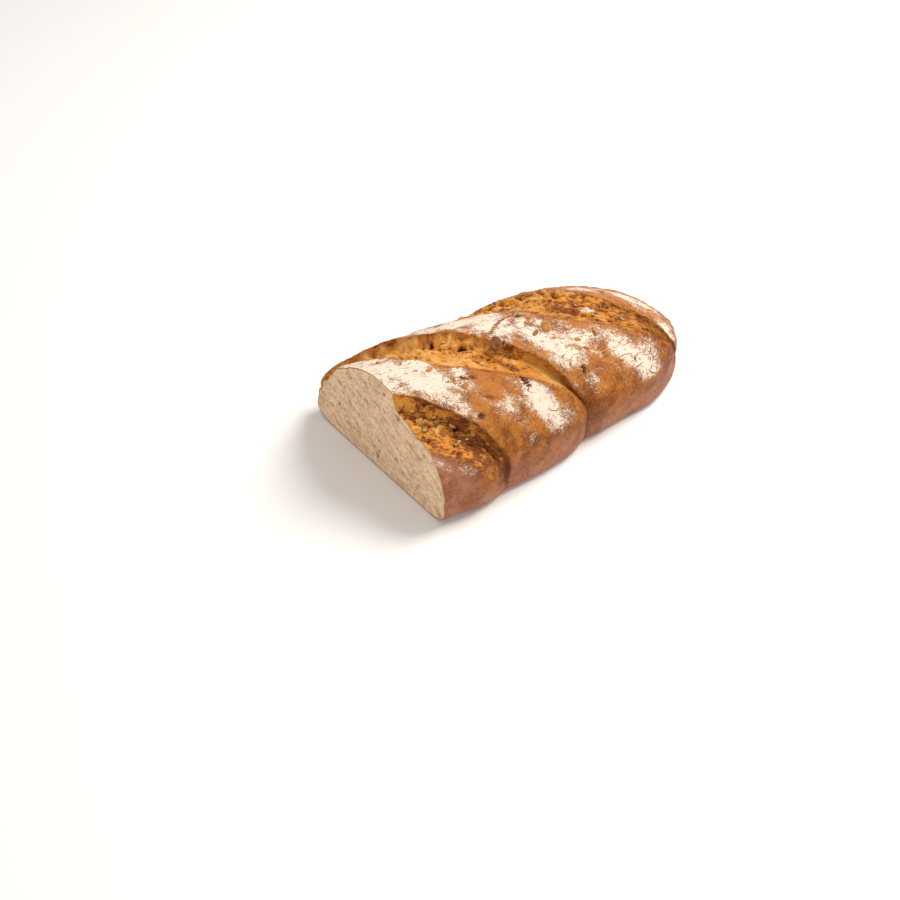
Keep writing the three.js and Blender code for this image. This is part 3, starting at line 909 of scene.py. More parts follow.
def cut_points(outline, pore_depth):
    """Points all over the cut face, how far each lies from its outline, and how far it is sunk."""
    rng = np.random.default_rng(7)
    low, high = outline.min(0), outline.max(0)
    columns = np.arange(low[0], high[0], CUT_GRID)
    levels = np.arange(low[1], high[1], CUT_GRID * math.sqrt(3) / 2)
    y, z = np.meshgrid(columns, levels)
    y = y + (np.arange(len(levels)) % 2)[:, None] * CUT_GRID / 2
    grid = np.stack([y, z], -1).reshape(-1, 2) + rng.uniform(-CUT_STRAY, CUT_STRAY, (y.size, 2))
    grid = grid[inside_outline(grid, outline)]
    rind = distance_to(grid, outline)
    grid, rind = grid[rind > CUT_MARGIN], rind[rind > CUT_MARGIN]
    return grid, rind, pores(grid, rind, pore_depth)


def cut_triangles(outline, grid):
    """The triangles of the cut face, each corner as the outline's point or the grid's that it stands for."""
    flat = [Vector(v) for v in np.concatenate([outline, grid])]
    border = [list(range(len(outline)))]
    corners, _, triangles, origins, _, _ = delaunay_2d_cdt(flat, [], border, 1, 1e-6, True)
    triangles = np.array(triangles)
    middles = np.array([tuple(c) for c in corners])[triangles].mean(1)
    return [[origins[i][0] for i in ring] for ring in triangles[inside_outline(middles, outline)]]


def cut_face(bm, loop, layers, pore_depth):
    """Closes the sliced end with a dense face whose pores are sunk into the loaf."""
    outline = np.array([v.co[1:] for v in loop])
    grid, rind, sunk = cut_points(outline, pore_depth)
    triangles = cut_triangles(outline, grid)
    made = {}

    def vertex(source):
        if source < len(loop):
            return loop[source]
        if source not in made:
            k = source - len(loop)
            made[source] = vert = bm.verts.new((sunk[k], *grid[k]))
            vert[layers["rind"]] = rind[k]
            vert[layers["lie"]] = (*grid[k], 0)
            # painted shade in the pores, growing with their depth
            vert[layers["hollow"]] = smooth(*HOLLOW_PORES, sunk[k])
        return made[source]

    for triangle in triangles:
        ring = [vertex(source) for source in triangle]
        if len(set(ring)) < 3:
            continue
        face = bm.faces.new(ring)
        face.material_index = CUT_SLOT
        face.normal_update()
        if face.normal.x > 0:
            face.normal_flip()


def ordered_loop(edges):
    """The vertices of a closed chain of edges, in order, with the bread's inside on the left."""
    after = {}
    for edge in edges:
        for vert in edge.verts:
            after.setdefault(vert, []).append(edge.other_vert(vert))
    start = min(after, key=lambda v: (v.co.z, v.co.y))
    chain, last, here = [start], None, start
    while True:
        step = next((v for v in after[here] if v is not last), None)
        if step is None or step is start:
            break
        chain.append(step)
        last, here = here, step
    area = sum(a.co.y * b.co.z - b.co.y * a.co.z for a, b in zip(chain, chain[1:] + chain[:1]))
    return chain if area > 0 else chain[::-1]


SNUG = (0.9961, 0.991, 0.9998)  # keeps the fine relief inside the solid's box


def to_frame(points):
    """From the loaf's own millimetres to the frame's metres."""
    return (np.asarray(points) - (MIDDLE_X, MIDDLE_Y, 0)) * SNUG * MM


def build_loaf_mesh(sizes):
    loaf = SmoothLoaf(sizes)
    points, faces, ends, masks, lie = skin_net(loaf, sizes.strand_height / MM)
    mesh = bpy.data.meshes.new("sliced_loaf")
    rings_of_verts = [list(map(int, f)) for f in faces] + [list(map(int, e)) for e in ends]
    mesh.from_pydata(points.tolist(), [], rings_of_verts)
    for name in MASKS:
        mesh.attributes.new(name, "FLOAT", "POINT").data.foreach_set("value", masks[name])
    mesh.attributes.new("rind", "FLOAT", "POINT")
    mesh.attributes.new("lie", "FLOAT_VECTOR", "POINT").data.foreach_set("vector", lie.ravel())
    bm = bmesh.new()
    bm.from_mesh(mesh)
    whole = bm.verts[:] + bm.edges[:] + bm.faces[:]
    cut = {"plane_co": (0, 0, 0), "plane_no": (1, 0, 0), "dist": 1e-5}
    bmesh.ops.bisect_plane(bm, geom=whole, clear_inner=True, **cut)
    layers = {name: bm.verts.layers.float[name] for name in (*MASKS, "rind")}
    layers["lie"] = bm.verts.layers.float_vector["lie"]
    rim = [e for e in bm.edges if len(e.link_faces) == 1]
    loop = ordered_loop(rim)
    for vert in loop:
        vert.co.x = 0
    cut_face(bm, loop, layers, sizes.crumb_pore / MM)
    for edge in rim:
        edge.smooth = False
    for face in bm.faces:
        face.smooth = True
    bmesh.ops.recalc_face_normals(bm, faces=bm.faces[:])
    bm.to_mesh(mesh)
    bm.free()
    spots = np.empty(len(mesh.vertices) * 3)
    mesh.vertices.foreach_get("co", spots)
    spots = spots.reshape(-1, 3)
    chart_for_baking(mesh, spots)
    mesh.vertices.foreach_set("co", to_frame(spots).ravel())
    mesh.update()
    return mesh


CHART_GAP = 5.0  # millimetres between the three parts of the chart
BASE_SHARE = 0.45  # scale of the base, which no one sees, in the chart
BASE_LEVEL = 0.05  # millimetres up to which a face counts as the base


def chart_for_baking(mesh, spots):
    """One UV map for baked pictures: the unrolled crust, and beside it the cut face and the base."""
    corners = np.empty(len(mesh.loops), np.int32)
    sizes, slots = np.empty((2, len(mesh.polygons)), np.int32)
    mesh.loops.foreach_get("vertex_index", corners)
    mesh.polygons.foreach_get("loop_total", sizes)
    mesh.polygons.foreach_get("material_index", slots)
    lie = np.empty(len(spots) * 3)
    mesh.attributes["lie"].data.foreach_get("vector", lie)
    lie = lie.reshape(-1, 3)[corners]
    starts = np.concatenate([[0], np.cumsum(sizes)[:-1]])
    high = np.maximum.reduceat(spots[corners, 2], starts)
    beneath = np.maximum.reduceat(lie[:, 2], starts) > 0
    on_cut = np.repeat(slots == CUT_SLOT, sizes)
    under = np.repeat((high < BASE_LEVEL) | beneath, sizes) & ~on_cut
    crust = ~on_cut & ~under
    x, y, z = (spots[corners, k] for k in range(3))
    chart = lie[:, :2] - lie[crust, :2].min(0)
    beside = chart[crust, 0].max() + CHART_GAP
    cut_top = np.ptp(y[on_cut]) + CHART_GAP
    chart[on_cut] = np.stack([beside + z, y - y[on_cut].min()], -1)[on_cut]
    chart[under] = np.stack([beside + BASE_SHARE * (y - y.min()), cut_top + BASE_SHARE * x], -1)[under]
    chart = (chart + CHART_GAP) / (chart.max() + 2 * CHART_GAP)
    mesh.uv_layers.new(name="OFBake").data.foreach_set("uv", chart.ravel())


# ---------------------------------------------------------------- kernels and flakes of crust

KERNELS = (  # the large ones: t, p, half sizes, heading, how far raised, tone (0 light, 1 dark)
    (67, 51, (5.6, 3.6, 3.8), 62, 1.3, 1.0),
    (96.5, 79, (6.2, 3.6, 2.8), 56, 0.9, 0.1),
    (90.5, 68, (4.6, 1.7, 2.0), 28, 0.6, 0.5),
    (76, 88, (3.2, 2.2, 1.8), 20, 0.4, 0.3),
    (128, 88, (3.4, 1.4, 1.5), 75, 0.4, 0.5),
    (118, 76, (2.8, 1.5, 1.5), -30, 0.4, 0.2),
    (52, 8, (3.6, 2.0, 1.8), 30, 0.4, 0.2),
    (88, 12, (3.4, 1.8, 1.7), -60, 0.4, 0.5),
    (30, 14, (3.2, 1.8, 1.6), 15, 0.4, 0.1),
    (62, -14, (3.0, 1.7, 1.6), 50, 0.6, 0.0),
    (30, 98, (3.2, 2.0, 1.8), -10, 0.5, 0.4),
    (132, 148, (3.4, 2.0, 1.8), 40, 0.5, 0.3),
)
SET_IN = 0.6  # share of a large kernel's half height by which it sinks in
BLUNT = (2.3, 0.6)  # exponents of a kernel's outline
POINTED = 0.2  # how much slimmer one end is
UNEVEN_KERNEL = 0.05
GROOVE = (0.3, 0.25)  # depth and width, as shares of the kernel's
SMALL_KERNELS = 26
SMALL_LENGTH = (1.4, 2.4)  # half lengths of the small ones
SMALL_WIDTH, SMALL_HEIGHT = (0.38, 0.6), 0.8  # as a share of the length, and of the width
FLAKES = (  # curls of crust that stand up: t, p, length, width, heading
    (30, -14, 6.5, 3.4, -35),
    (37, -15, 5.5, 3.0, -60),
    (24, -13, 4.5, 2.4, -20),
    (30, -20, 5.5, 3.2, -10),
    (34, -24, 5, 3, 10),
    (49, -16, 4.5, 2.2, -50),
    (71, -15, 5, 2.2, -50),
    (78, -15, 4, 2.4, -70),
    (20, 50, 5, 2.2, -50),
    (-12, 46, 5, 2.2, -40),
    (104, 128, 5, 2.4, -40),
    (92, 122, 5.5, 2.4, -60),
    (128, 112, 5, 2.2, -45),
    (148, 118, 5, 2.2, -55),
)
SMALL_FLAKES = 34
FLAKE_LENGTH, FLAKE_WIDTH = (2.4, 4.4), (0.35, 0.55)  # of the small ones, the width as a share
FLAKE_HEADING, FLAKE_TURNS = -45, 40
FLAKE_TILT, FLAKE_RAISED = 22, (-0.2, 0.3)
CURL, THICKNESS = (0.7, 1.5), (0.35, 0.6)  # radians from a flake's middle to its end, and millimetres
FLAKE_EDGE, FLAKE_ENDS = 0.22, 0.75  # how uneven a flake's edge is, and how much narrower its ends are
CUPPED = 0.25  # rise of a flake's long edges, as a share of its width
FIELDS = (  # where small kernels and flakes may lie, in the bands: t and p from and to
    ((2, 72), (-34, -12)),
    ((-30, 70), (24, 52)),
    ((50, 172), (100, 132)),
)
SKIN_FIELD = ((-10, 170), (-8, 158))
LEAST_FROM_CUT = 4.0
LEAST_INSIDE = 0.12  # share of the way from the rim of the plan to its middle line


def lies_at(loaf, strand_height, t, p):
    """The finished crust's surface at places on the plan, and its direction there."""
    spots = np.stack([*on_plan(p, t), loaf.height_at(p, t)], -1)
    return shaped(loaf, spots, strand_height)[0], loaf.outward(*spots.T)


def turned(normal, heading, tilt):
    """Turns a thing that lies flat by its heading, tips it, and lays it on a slope."""
    upright = Vector((0, 0, 1)).rotation_difference(normal).to_matrix()
    turn = Matrix.Rotation(math.radians(heading), 3, "Z") @ Matrix.Rotation(math.radians(tilt), 3, "Y")
    return np.array(upright @ turn)


def kernel(size, rng, rings=9, around=14):
    """A closed almond shape with a groove along its top, blunt at one end."""
    along = np.cos(np.linspace(0, math.pi, rings + 2))[1:-1]
    angles = np.linspace(0, math.tau, around, endpoint=False)
    wide = (1 - np.abs(along) ** BLUNT[0]) ** BLUNT[1] * (1 - POINTED * along)
    u, a = np.repeat(along, around), np.tile(angles, rings)
    w = np.repeat(wide, around) * (1 + rng.uniform(-UNEVEN_KERNEL, UNEVEN_KERNEL, len(u)))
    groove = 1 - GROOVE[0] * hill(np.cos(a), GROOVE[1]) * (np.sin(a) > 0)
    points = np.stack([u, w * np.cos(a), w * np.sin(a) * groove], -1)
    points = np.concatenate([points, [[1, 0, 0], [-1, 0, 0]]]) * size
    faces = []
    sides = [(i, (i + 1) % around) for i in range(around)]
    for r, (i, j) in product(range(0, (rings - 1) * around, around), sides):
        faces.append([r + i, r + j, r + around + j, r + around + i])
    tip, last = rings * around, (rings - 1) * around
    for i, j in sides:
        faces += [[tip, j, i], [tip + 1, last + i, last + j]]
    rim = np.append(smooth(0.7, 1, np.abs(np.cos(a))), [1, 1])
    return points, faces, rim


def flake(length, width, rng, steps=9, rows=5):
    """A closed curl of thin crust, with an uneven outline and thin edges."""
    curl, thick = rng.uniform(*CURL), rng.uniform(*THICKNESS)
    edge = 1 + FLAKE_EDGE * rng.uniform(-1, 1, (2, steps))
    grid = {}
    points, rim = [], []
    for side, i, j in product((1, -1), range(steps), range(rows)):
        border = i in (0, steps - 1) or j in (0, rows - 1)
        if border and side < 0:
            grid[side, i, j] = grid[1, i, j]
            continue
        u, v = 2 * i / (steps - 1) - 1, 2 * j / (rows - 1) - 1
        half = width / 2 * (1 - FLAKE_ENDS * u**4) * edge[int(v > 0), i]
        reach = length / 2 * math.sin(curl * u) / curl
        bow = length / 2 * (1 - math.cos(curl * u)) / curl + CUPPED * v * v * width
        body = 0 if border else side * thick / 2
        points.append((reach, v * half, bow + body))
        rim.append(float(border))
        grid[side, i, j] = len(points) - 1
    faces = []
    for side, i, j in product((1, -1), range(steps - 1), range(rows - 1)):
        ring = [grid[side, i + di, j + dj] for di, dj in ((0, 0), (1, 0), (1, 1), (0, 1))]
        faces.append(ring[::side])
    return np.array(points), faces, np.array(rim)


def gather(name, things):
    """Joins many small closed shapes in one mesh: each is points, faces, rim and tone."""
    points, faces, rims, tones = [], [], [], []
    for spots, rings_of_verts, rim, tone in things:
        start = sum(map(len, points))
        faces += [[start + i for i in ring] for ring in rings_of_verts]
        points.append(spots)
        rims.append(rim)
        tones.append(np.full(len(spots), tone))
    mesh = bpy.data.meshes.new(name)
    mesh.from_pydata(to_frame(np.concatenate(points)).tolist(), [], faces)
    mesh.attributes.new("rim", "FLOAT", "POINT").data.foreach_set("value", np.concatenate(rims))
    mesh.attributes.new("tone", "FLOAT", "POINT").data.foreach_set("value", np.concatenate(tones))
    mesh.polygons.foreach_set("use_smooth", [True] * len(mesh.polygons))
    mesh.update()
    return mesh


def somewhere(rng, loaf, fields, count):
    """Random places on the loaf's top, from each field in turn, clear of the cut and of the steep flanks."""
    places = []
    while len(places) < count:
        (t_from, t_to), (p_from, p_to) = fields[len(places) % len(fields)]
        t, p = rng.uniform(t_from, t_to), rng.uniform(p_from, p_to)
        x, y = on_plan(p, t)
        if x > LEAST_FROM_CUT and loaf.field(x, y, loaf.waist) < -LEAST_INSIDE:
            places.append((t, p))
    return places


def laid(name, loaf, strand_height, wanted):
    """Lays shapes on the crust: each is t, p, heading, tilt, height above it, tone, points, faces and rim."""
    t, p = (np.array([each[k] for each in wanted], float) for k in (0, 1))
    spots, normals = lies_at(loaf, strand_height, t, p)
    things = []
    for spot, normal, each in zip(spots, normals, wanted):
        heading, tilt, raised, tone, points, faces, rim = each[2:]
        turn = turned(Vector(normal), heading, tilt)
        things.append((points @ turn.T + spot + normal * raised, faces, rim, tone))
    return gather(name, things)


def build_kernels(sizes):
    loaf, rng = SmoothLoaf(sizes), np.random.default_rng(21)
    wanted = []
    for t, p, size, heading, raised, tone in KERNELS:
        wanted.append((t, p, heading, 0, raised - size[2] * SET_IN, tone, *kernel(size, rng)))
    for t, p in somewhere(rng, loaf, (*FIELDS, SKIN_FIELD, SKIN_FIELD), SMALL_KERNELS):
        long, flat = rng.uniform(*SMALL_LENGTH), rng.uniform(*SMALL_WIDTH)
        size = (long, long * flat, long * flat * SMALL_HEIGHT)
        wanted.append((t, p, rng.uniform(0, 180), 0, 0.1, rng.uniform(0, 0.9), *kernel(size, rng)))
    return laid("kernels", loaf, sizes.strand_height / MM, wanted)


def build_flakes(sizes):
    loaf, rng = SmoothLoaf(sizes), np.random.default_rng(33)
    curls = list(FLAKES)
    for t, p in somewhere(rng, loaf, FIELDS, SMALL_FLAKES):
        long = rng.uniform(*FLAKE_LENGTH)
        wide = long * rng.uniform(*FLAKE_WIDTH)
        curls.append((t, p, long, wide, FLAKE_HEADING + rng.uniform(-FLAKE_TURNS, FLAKE_TURNS)))
    wanted = []
    for t, p, long, wide, heading in curls:
        tilt, raised = rng.uniform(-FLAKE_TILT, FLAKE_TILT), rng.uniform(*FLAKE_RAISED)
        tone = rng.uniform(0, 1)
        wanted.append((t, p, heading, tilt, raised, tone, *flake(long, wide, rng)))
    return laid("crust_flakes", loaf, sizes.strand_height / MM, wanted)


# ---------------------------------------------------------------- shader building


def feed(tree, socket, value):
    """Links a socket to another node's output, or sets its value."""
    if isinstance(value, bpy.types.NodeSocket):
        tree.links.new(value, socket)
    elif socket.type == "RGBA":
        socket.default_value = (*value, 1)
    else:
        socket.default_value = value


def put(tree, kind, inputs=None, **settings):
    """A node with its settings made and its inputs set or linked."""
    node = tree.nodes.new(kind)
    for name, value in settings.items():
        setattr(node, name, value)
    for key, value in (inputs or {}).items():
        feed(tree, node.inputs[key], value)
    return node


def sum_up(tree, operation, a, b=0.0, c=0.0, clamp=False):
    node = put(tree, "ShaderNodeMath", {0: a, 1: b, 2: c}, operation=operation, use_clamp=clamp)
    return node.outputs[0]


def times(tree, a, b, clamp=False):
    return sum_up(tree, "MULTIPLY", a, b, clamp=clamp)


def times_plus(tree, a, b, c):
    return sum_up(tree, "MULTIPLY_ADD", a, b, c)


def vector_sum(tree, operation, a, b):
    return put(tree, "ShaderNodeVectorMath", {0: a, 1: b}, operation=operation).outputs[0]


def blend(tree, factor, a, b):
    return put(tree, "ShaderNodeMix", {0: factor, 6: a, 7: b}, data_type="RGBA").outputs[2]


def tinted(tree, under, mask, part, over):
    """A colour with part of another laid over it where the mask says."""
    return blend(tree, times(tree, mask, part), under, over)


def remap(tree, value, from_low, from_high):
    """0 at the first level and 1 at the other, with a smooth rise between them."""
    inputs = {"Value": value, "From Min": from_low, "From Max": from_high}
    return put(tree, "ShaderNodeMapRange", inputs, interpolation_type="SMOOTHSTEP").outputs["Result"]


def speckle(tree, place, scale, detail=3.0, rough=0.55):
    inputs = {"Vector": place, "Scale": scale, "Detail": detail, "Roughness": rough}
    return put(tree, "ShaderNodeTexNoise", inputs).outputs["Fac"]


def bump(tree, height, strength, distance):
    inputs = {"Height": height, "Strength": strength, "Distance": distance}
    return put(tree, "ShaderNodeBump", inputs).outputs["Normal"]


def own_place(tree):
    return put(tree, "ShaderNodeTexCoord").outputs["Object"]


def place_on_crust(tree):
    """Millimetres along the unrolled crust or on the cut face."""
    return put(tree, "ShaderNodeAttribute", attribute_name="lie").outputs["Vector"]


def mask_of(tree, name):
    return put(tree, "ShaderNodeAttribute", attribute_name=name).outputs["Fac"]


FLOAT, VECTOR, COLOUR = "NodeSocketFloat", "NodeSocketVector", "NodeSocketColor"


def new_group(name, inputs, outputs):
    """An empty node group and its ends. A number stands for a float socket that starts at it."""
    tree = bpy.data.node_groups.new(name, "ShaderNodeTree")
    for socket, kind in inputs.items():
        start = None if isinstance(kind, str) else kind
        kind = kind if start is None else FLOAT
        made = tree.interface.new_socket(name=socket, in_out="INPUT", socket_type=kind)
        if start is not None:
            made.default_value = start
    for socket, kind in outputs.items():
        tree.interface.new_socket(name=socket, in_out="OUTPUT", socket_type=kind)
    return tree, tree.nodes.new("NodeGroupInput").outputs, tree.nodes.new("NodeGroupOutput").inputs


def place_group(tree, name, inputs):
    node = tree.nodes.new("ShaderNodeGroup")
    node.node_tree = bpy.data.node_groups[name]
    for key, value in inputs.items():
        feed(tree, node.inputs[key], value)
    return node.outputs


# ---------------------------------------------------------------- effects that the finishes share

FLOUR_LAYERS = ((1.0, 0.52), (0.34, 0.3), (0.12, 0.18))  # share of the grain's scale, and weight
FLOUR_SPREAD, FLOUR_START, FLOUR_GAIN = 4.4, -3.15, 1.6  # of the grains' field, its start, and the amount's
FLOUR_EDGE = (-0.35, 0.45)
HAZE_RISES, HAZE = 3.0, 0.3  # of the thin even layer between the grains


def make_flour_group():
    """Flour that covers a colour in grains: thick where the amount is high, scattered where it is low."""
    inputs = {"Color": COLOUR, "Flour": COLOUR, "Amount": 0.5, "Place": VECTOR, "Grain": 900.0}
    tree, given, out = new_group("flour_dust", inputs, {"Color": COLOUR, "Cover": FLOAT})
    mixed = 0.0
    for size, weight in FLOUR_LAYERS:
        field = speckle(tree, given["Place"], times(tree, given["Grain"], size), 2.0, 0.6)
        mixed = times_plus(tree, field, weight, mixed)
    spread = times_plus(tree, mixed, FLOUR_SPREAD, FLOUR_START)
    cover = remap(tree, times_plus(tree, given["Amount"], FLOUR_GAIN, spread), *FLOUR_EDGE)
    haze = times(tree, sum_up(tree, "POWER", given["Amount"], HAZE_RISES), HAZE, clamp=True)
    cover = sum_up(tree, "MAXIMUM", cover, haze)
    feed(tree, out["Color"], blend(tree, cover, given["Color"], given["Flour"]))
    feed(tree, out["Cover"], cover)


STROKE_BOW = 0.8
STROKE_EDGE = (1.0, 0.35)


def make_strokes_group():
    """Short bowed strokes at random headings, such as cracks in the flour or drawn-out pores."""
    inputs = {"Lie": VECTOR, "Scale": 150.0, "Length": 0.3, "Width": 0.06, "Share": 0.5}
    tree, given, out = new_group("short_strokes", inputs, {"Mask": FLOAT, "Tone": FLOAT})
    scale = {0: given["Lie"], "Scale": given["Scale"]}
    scaled = put(tree, "ShaderNodeVectorMath", scale, operation="SCALE").outputs[0]
    inputs = {"Vector": scaled, "Scale": 1.0}
    cells = put(tree, "ShaderNodeTexVoronoi", inputs, voronoi_dimensions="2D").outputs
    draw = put(tree, "ShaderNodeSeparateColor", {"Color": cells["Color"]}).outputs
    offset = vector_sum(tree, "SUBTRACT", scaled, cells["Position"])
    inputs = {"Vector": offset, "Angle": times(tree, draw["Red"], math.tau)}
    offset = put(tree, "ShaderNodeVectorRotate", inputs, rotation_type="Z_AXIS").outputs[0]
    parts = put(tree, "ShaderNodeSeparateXYZ", {"Vector": offset}).outputs
    bowed = times_plus(tree, sum_up(tree, "POWER", parts["X"], 2.0), STROKE_BOW, parts["Y"])
    along = sum_up(tree, "POWER", sum_up(tree, "DIVIDE", parts["X"], given["Length"]), 2.0)
    across = sum_up(tree, "POWER", sum_up(tree, "DIVIDE", bowed, given["Width"]), 2.0)
    body = remap(tree, sum_up(tree, "ADD", along, across), *STROKE_EDGE)
    kept = sum_up(tree, "LESS_THAN", draw["Green"], given["Share"])
    feed(tree, out["Mask"], times(tree, body, kept))
    feed(tree, out["Tone"], draw["Blue"])


BROAD_SHARE, BAKE_LEVEL = 1.2, 1.1  # weight of the broad patches, and the fields' sum where nothing changes


def make_bake_group():
    """Uneven browning between two colours, broad and fine, with the fine part given out as a height too."""
    inputs = {"Light": COLOUR, "Dark": COLOUR, "Lean": 0.5, "Place": VECTOR}
    inputs.update({"Broad": 60.0, "Fine": 700.0, "Contrast": 2.0})
    tree, given, out = new_group("uneven_bake", inputs, {"Color": COLOUR, "Height": FLOAT})
    broad = speckle(tree, given["Place"], given["Broad"], 4.0, 0.6)
    fine = speckle(tree, given["Place"], given["Fine"], 2.0, 0.6)
    uneven = times_plus(tree, broad, BROAD_SHARE, sum_up(tree, "SUBTRACT", fine, BAKE_LEVEL))
    level = times_plus(tree, uneven, given["Contrast"], given["Lean"])
    level = sum_up(tree, "ADD", level, 0.0, clamp=True)
    feed(tree, out["Color"], blend(tree, level, given["Light"], given["Dark"]))
    feed(tree, out["Height"], fine)


def baked(tree, light, dark, lean, place, broad, fine, contrast):
    given = {"Light": light, "Dark": dark, "Lean": lean, "Place": place}
    return place_group(tree, "uneven_bake", {**given, "Broad": broad, "Fine": fine, "Contrast": contrast})


def strokes(tree, lie, scale, long, wide, kept):
    given = {"Lie": lie, "Scale": scale, "Length": long, "Width": wide, "Share": kept}
    return place_group(tree, "short_strokes", given)["Mask"]


def floured(tree, under, flour, amount, place, grain):
    given = {"Color": under, "Flour": flour, "Amount": amount, "Place": place, "Grain": grain}
    return place_group(tree, "flour_dust", given)


# ---------------------------------------------------------------- the finishes


def new_material(name):
    """An empty material: itself, its tree and the sockets of its surface shader."""
    material = bpy.data.materials.new(name)
    material.use_nodes = True
    tree = material.node_tree
    tree.nodes.clear()
    surface = tree.nodes.new("ShaderNodeBsdfPrincipled")
    tree.links.new(surface.outputs[0], tree.nodes.new("ShaderNodeOutputMaterial").inputs["Surface"])
    return material, tree, surface.inputs


def finish(tree, surface, colour, roughness, specular, normal):
    feed(tree, surface["Base Color"], colour)
    feed(tree, surface["Roughness"], roughness)
    feed(tree, surface["Normal"], normal)
    surface["Specular IOR Level"].default_value = specular


DRAWN_DOUGH, DRAWN_CRUMB = (0.42, 1.0, 1.0), (0.32, 1.0, 1.0)  # scales that draw their patches out
FOOT_TOAST, FOOT_DULL = 0.75, 0.85  # how much browning shows low on the flanks, and how much of the foot's dull tint, partly painted reflection, they take
# how much darker the torn dough is made, and the painted highlight that lightens the crests of its strands
DOUGH_DARKER, CREST_HIGHLIGHT = 0.16, -0.75
# dry tips: levels between which they show, the crests' share, which is a painted highlight, and the share of
# the browning mask
DRY_LEVELS, DRY_CREST_HIGHLIGHT, DRY_TOAST = (0.6, 0.95), 0.5, -0.4
FLOUR_MARKS = (  # strokes that bare the skin: cells to a millimetre, half sizes, share of cells, how bare
    (0.11, 0.45, 0.05, 0.4, 0.8),
    (0.26, 0.42, 0.08, 0.6, 0.55),
)
FLOUR_CRACKS = ((110.0, 0.03, 0.16), (300.0, 0.05, 0.16))  # cells to a metre, width of a crack, how bare
FLOUR_ROUGHER = 0.42  # than the skin, which starts at the same roughness
FLOUR_HEIGHT, DOUGH_HEIGHT = 0.4, 1.8  # in the bumps, next to the skin's


def thinned(tree, amount, mask, cut):
    """Less of the flour where the mask says."""
    return sum_up(tree, "MAXIMUM", times_plus(tree, mask, -cut, amount), 0.0)


def flour_on_crust(tree, flour, lie, place):
    """The flour's amount, with strokes and cracks that bare the skin."""
    for *stroke, cut in FLOUR_MARKS:
        flour = thinned(tree, flour, strokes(tree, lie, *stroke), cut)
    for scale, thin, cut in FLOUR_CRACKS:
        swing = sum_up(tree, "ABSOLUTE", sum_up(tree, "SUBTRACT", speckle(tree, place, scale, 2.0), 0.5))
        flour = thinned(tree, flour, remap(tree, swing, thin, thin * 0.2), cut)
    return flour


def make_crust(look):
    material, tree, surface = new_material("baked_crust")
    place, lie = own_place(tree), place_on_crust(tree)
    torn, toast, hollow, crest, scorch, flour, foot = (mask_of(tree, name) for name in MASKS)
    skin = baked(tree, look.golden, look.brown, toast, place, broad=90.0, fine=900.0, contrast=2.6)
    shaded = times(tree, toast, FOOT_TOAST)
    low = baked(tree, look.foot, look.shaded_foot, shaded, place, broad=60.0, fine=420.0, contrast=2.2)
    # partly painted reflection: the dull pinkish foot laid over the skin low on the flanks
    skin_colour = tinted(tree, skin["Color"], foot, FOOT_DULL, low["Color"])
    bran = strokes(tree, lie, scale=0.26, long=0.2, wide=0.13, kept=0.35)
    skin_colour = tinted(tree, skin_colour, bran, 0.5, look.scorched)
    # painted highlight: the crests of the torn strands are made lighter
    level = times_plus(tree, crest, CREST_HIGHLIGHT, sum_up(tree, "ADD", toast, DOUGH_DARKER))
    drawn = vector_sum(tree, "MULTIPLY", lie, DRAWN_DOUGH)
    dough = baked(tree, look.torn, look.toasted, level, drawn, broad=0.26, fine=0.8, contrast=4.2)
    # dry tips, partly a painted highlight on the crests
    dry_and_highlight = times_plus(tree, toast, DRY_TOAST, times_plus(tree, crest, DRY_CREST_HIGHLIGHT, dough["Height"]))
    dough_colour = tinted(tree, dough["Color"], remap(tree, dry_and_highlight, *DRY_LEVELS), 0.6, look.dry)
    bare = blend(tree, torn, skin_colour, dough_colour)
    # scorched edges, and painted shade in creases and dents, in the scorched colour
    bare = blend(tree, times(tree, scorch, 0.85, clamp=True), bare, look.scorched)
    flour = flour_on_crust(tree, times(tree, flour, look.dusting), lie, place)
    dusted = floured(tree, bare, look.flour, flour, place, grain=1700.0)
    # painted shade: hollows of the torn dough and deep dents are darkened
    colour = blend(tree, hollow, dusted["Color"], look.hollow)
    rough = times_plus(tree, dusted["Cover"], FLOUR_ROUGHER, FLOUR_ROUGHER)
    relief = times_plus(tree, dusted["Cover"], FLOUR_HEIGHT, skin["Height"])
    relief = times_plus(tree, times(tree, dough["Height"], torn), DOUGH_HEIGHT, relief)
    finish(tree, surface, colour, rough, 0.17, bump(tree, relief, strength=0.8, distance=0.0008))
    return material


RIND_WAVES, RIND_SCALE = 1.2, 400.0
RIND_EDGE = (1.25, 0.5)  # where the rind ends and where it is whole, as shares of its width


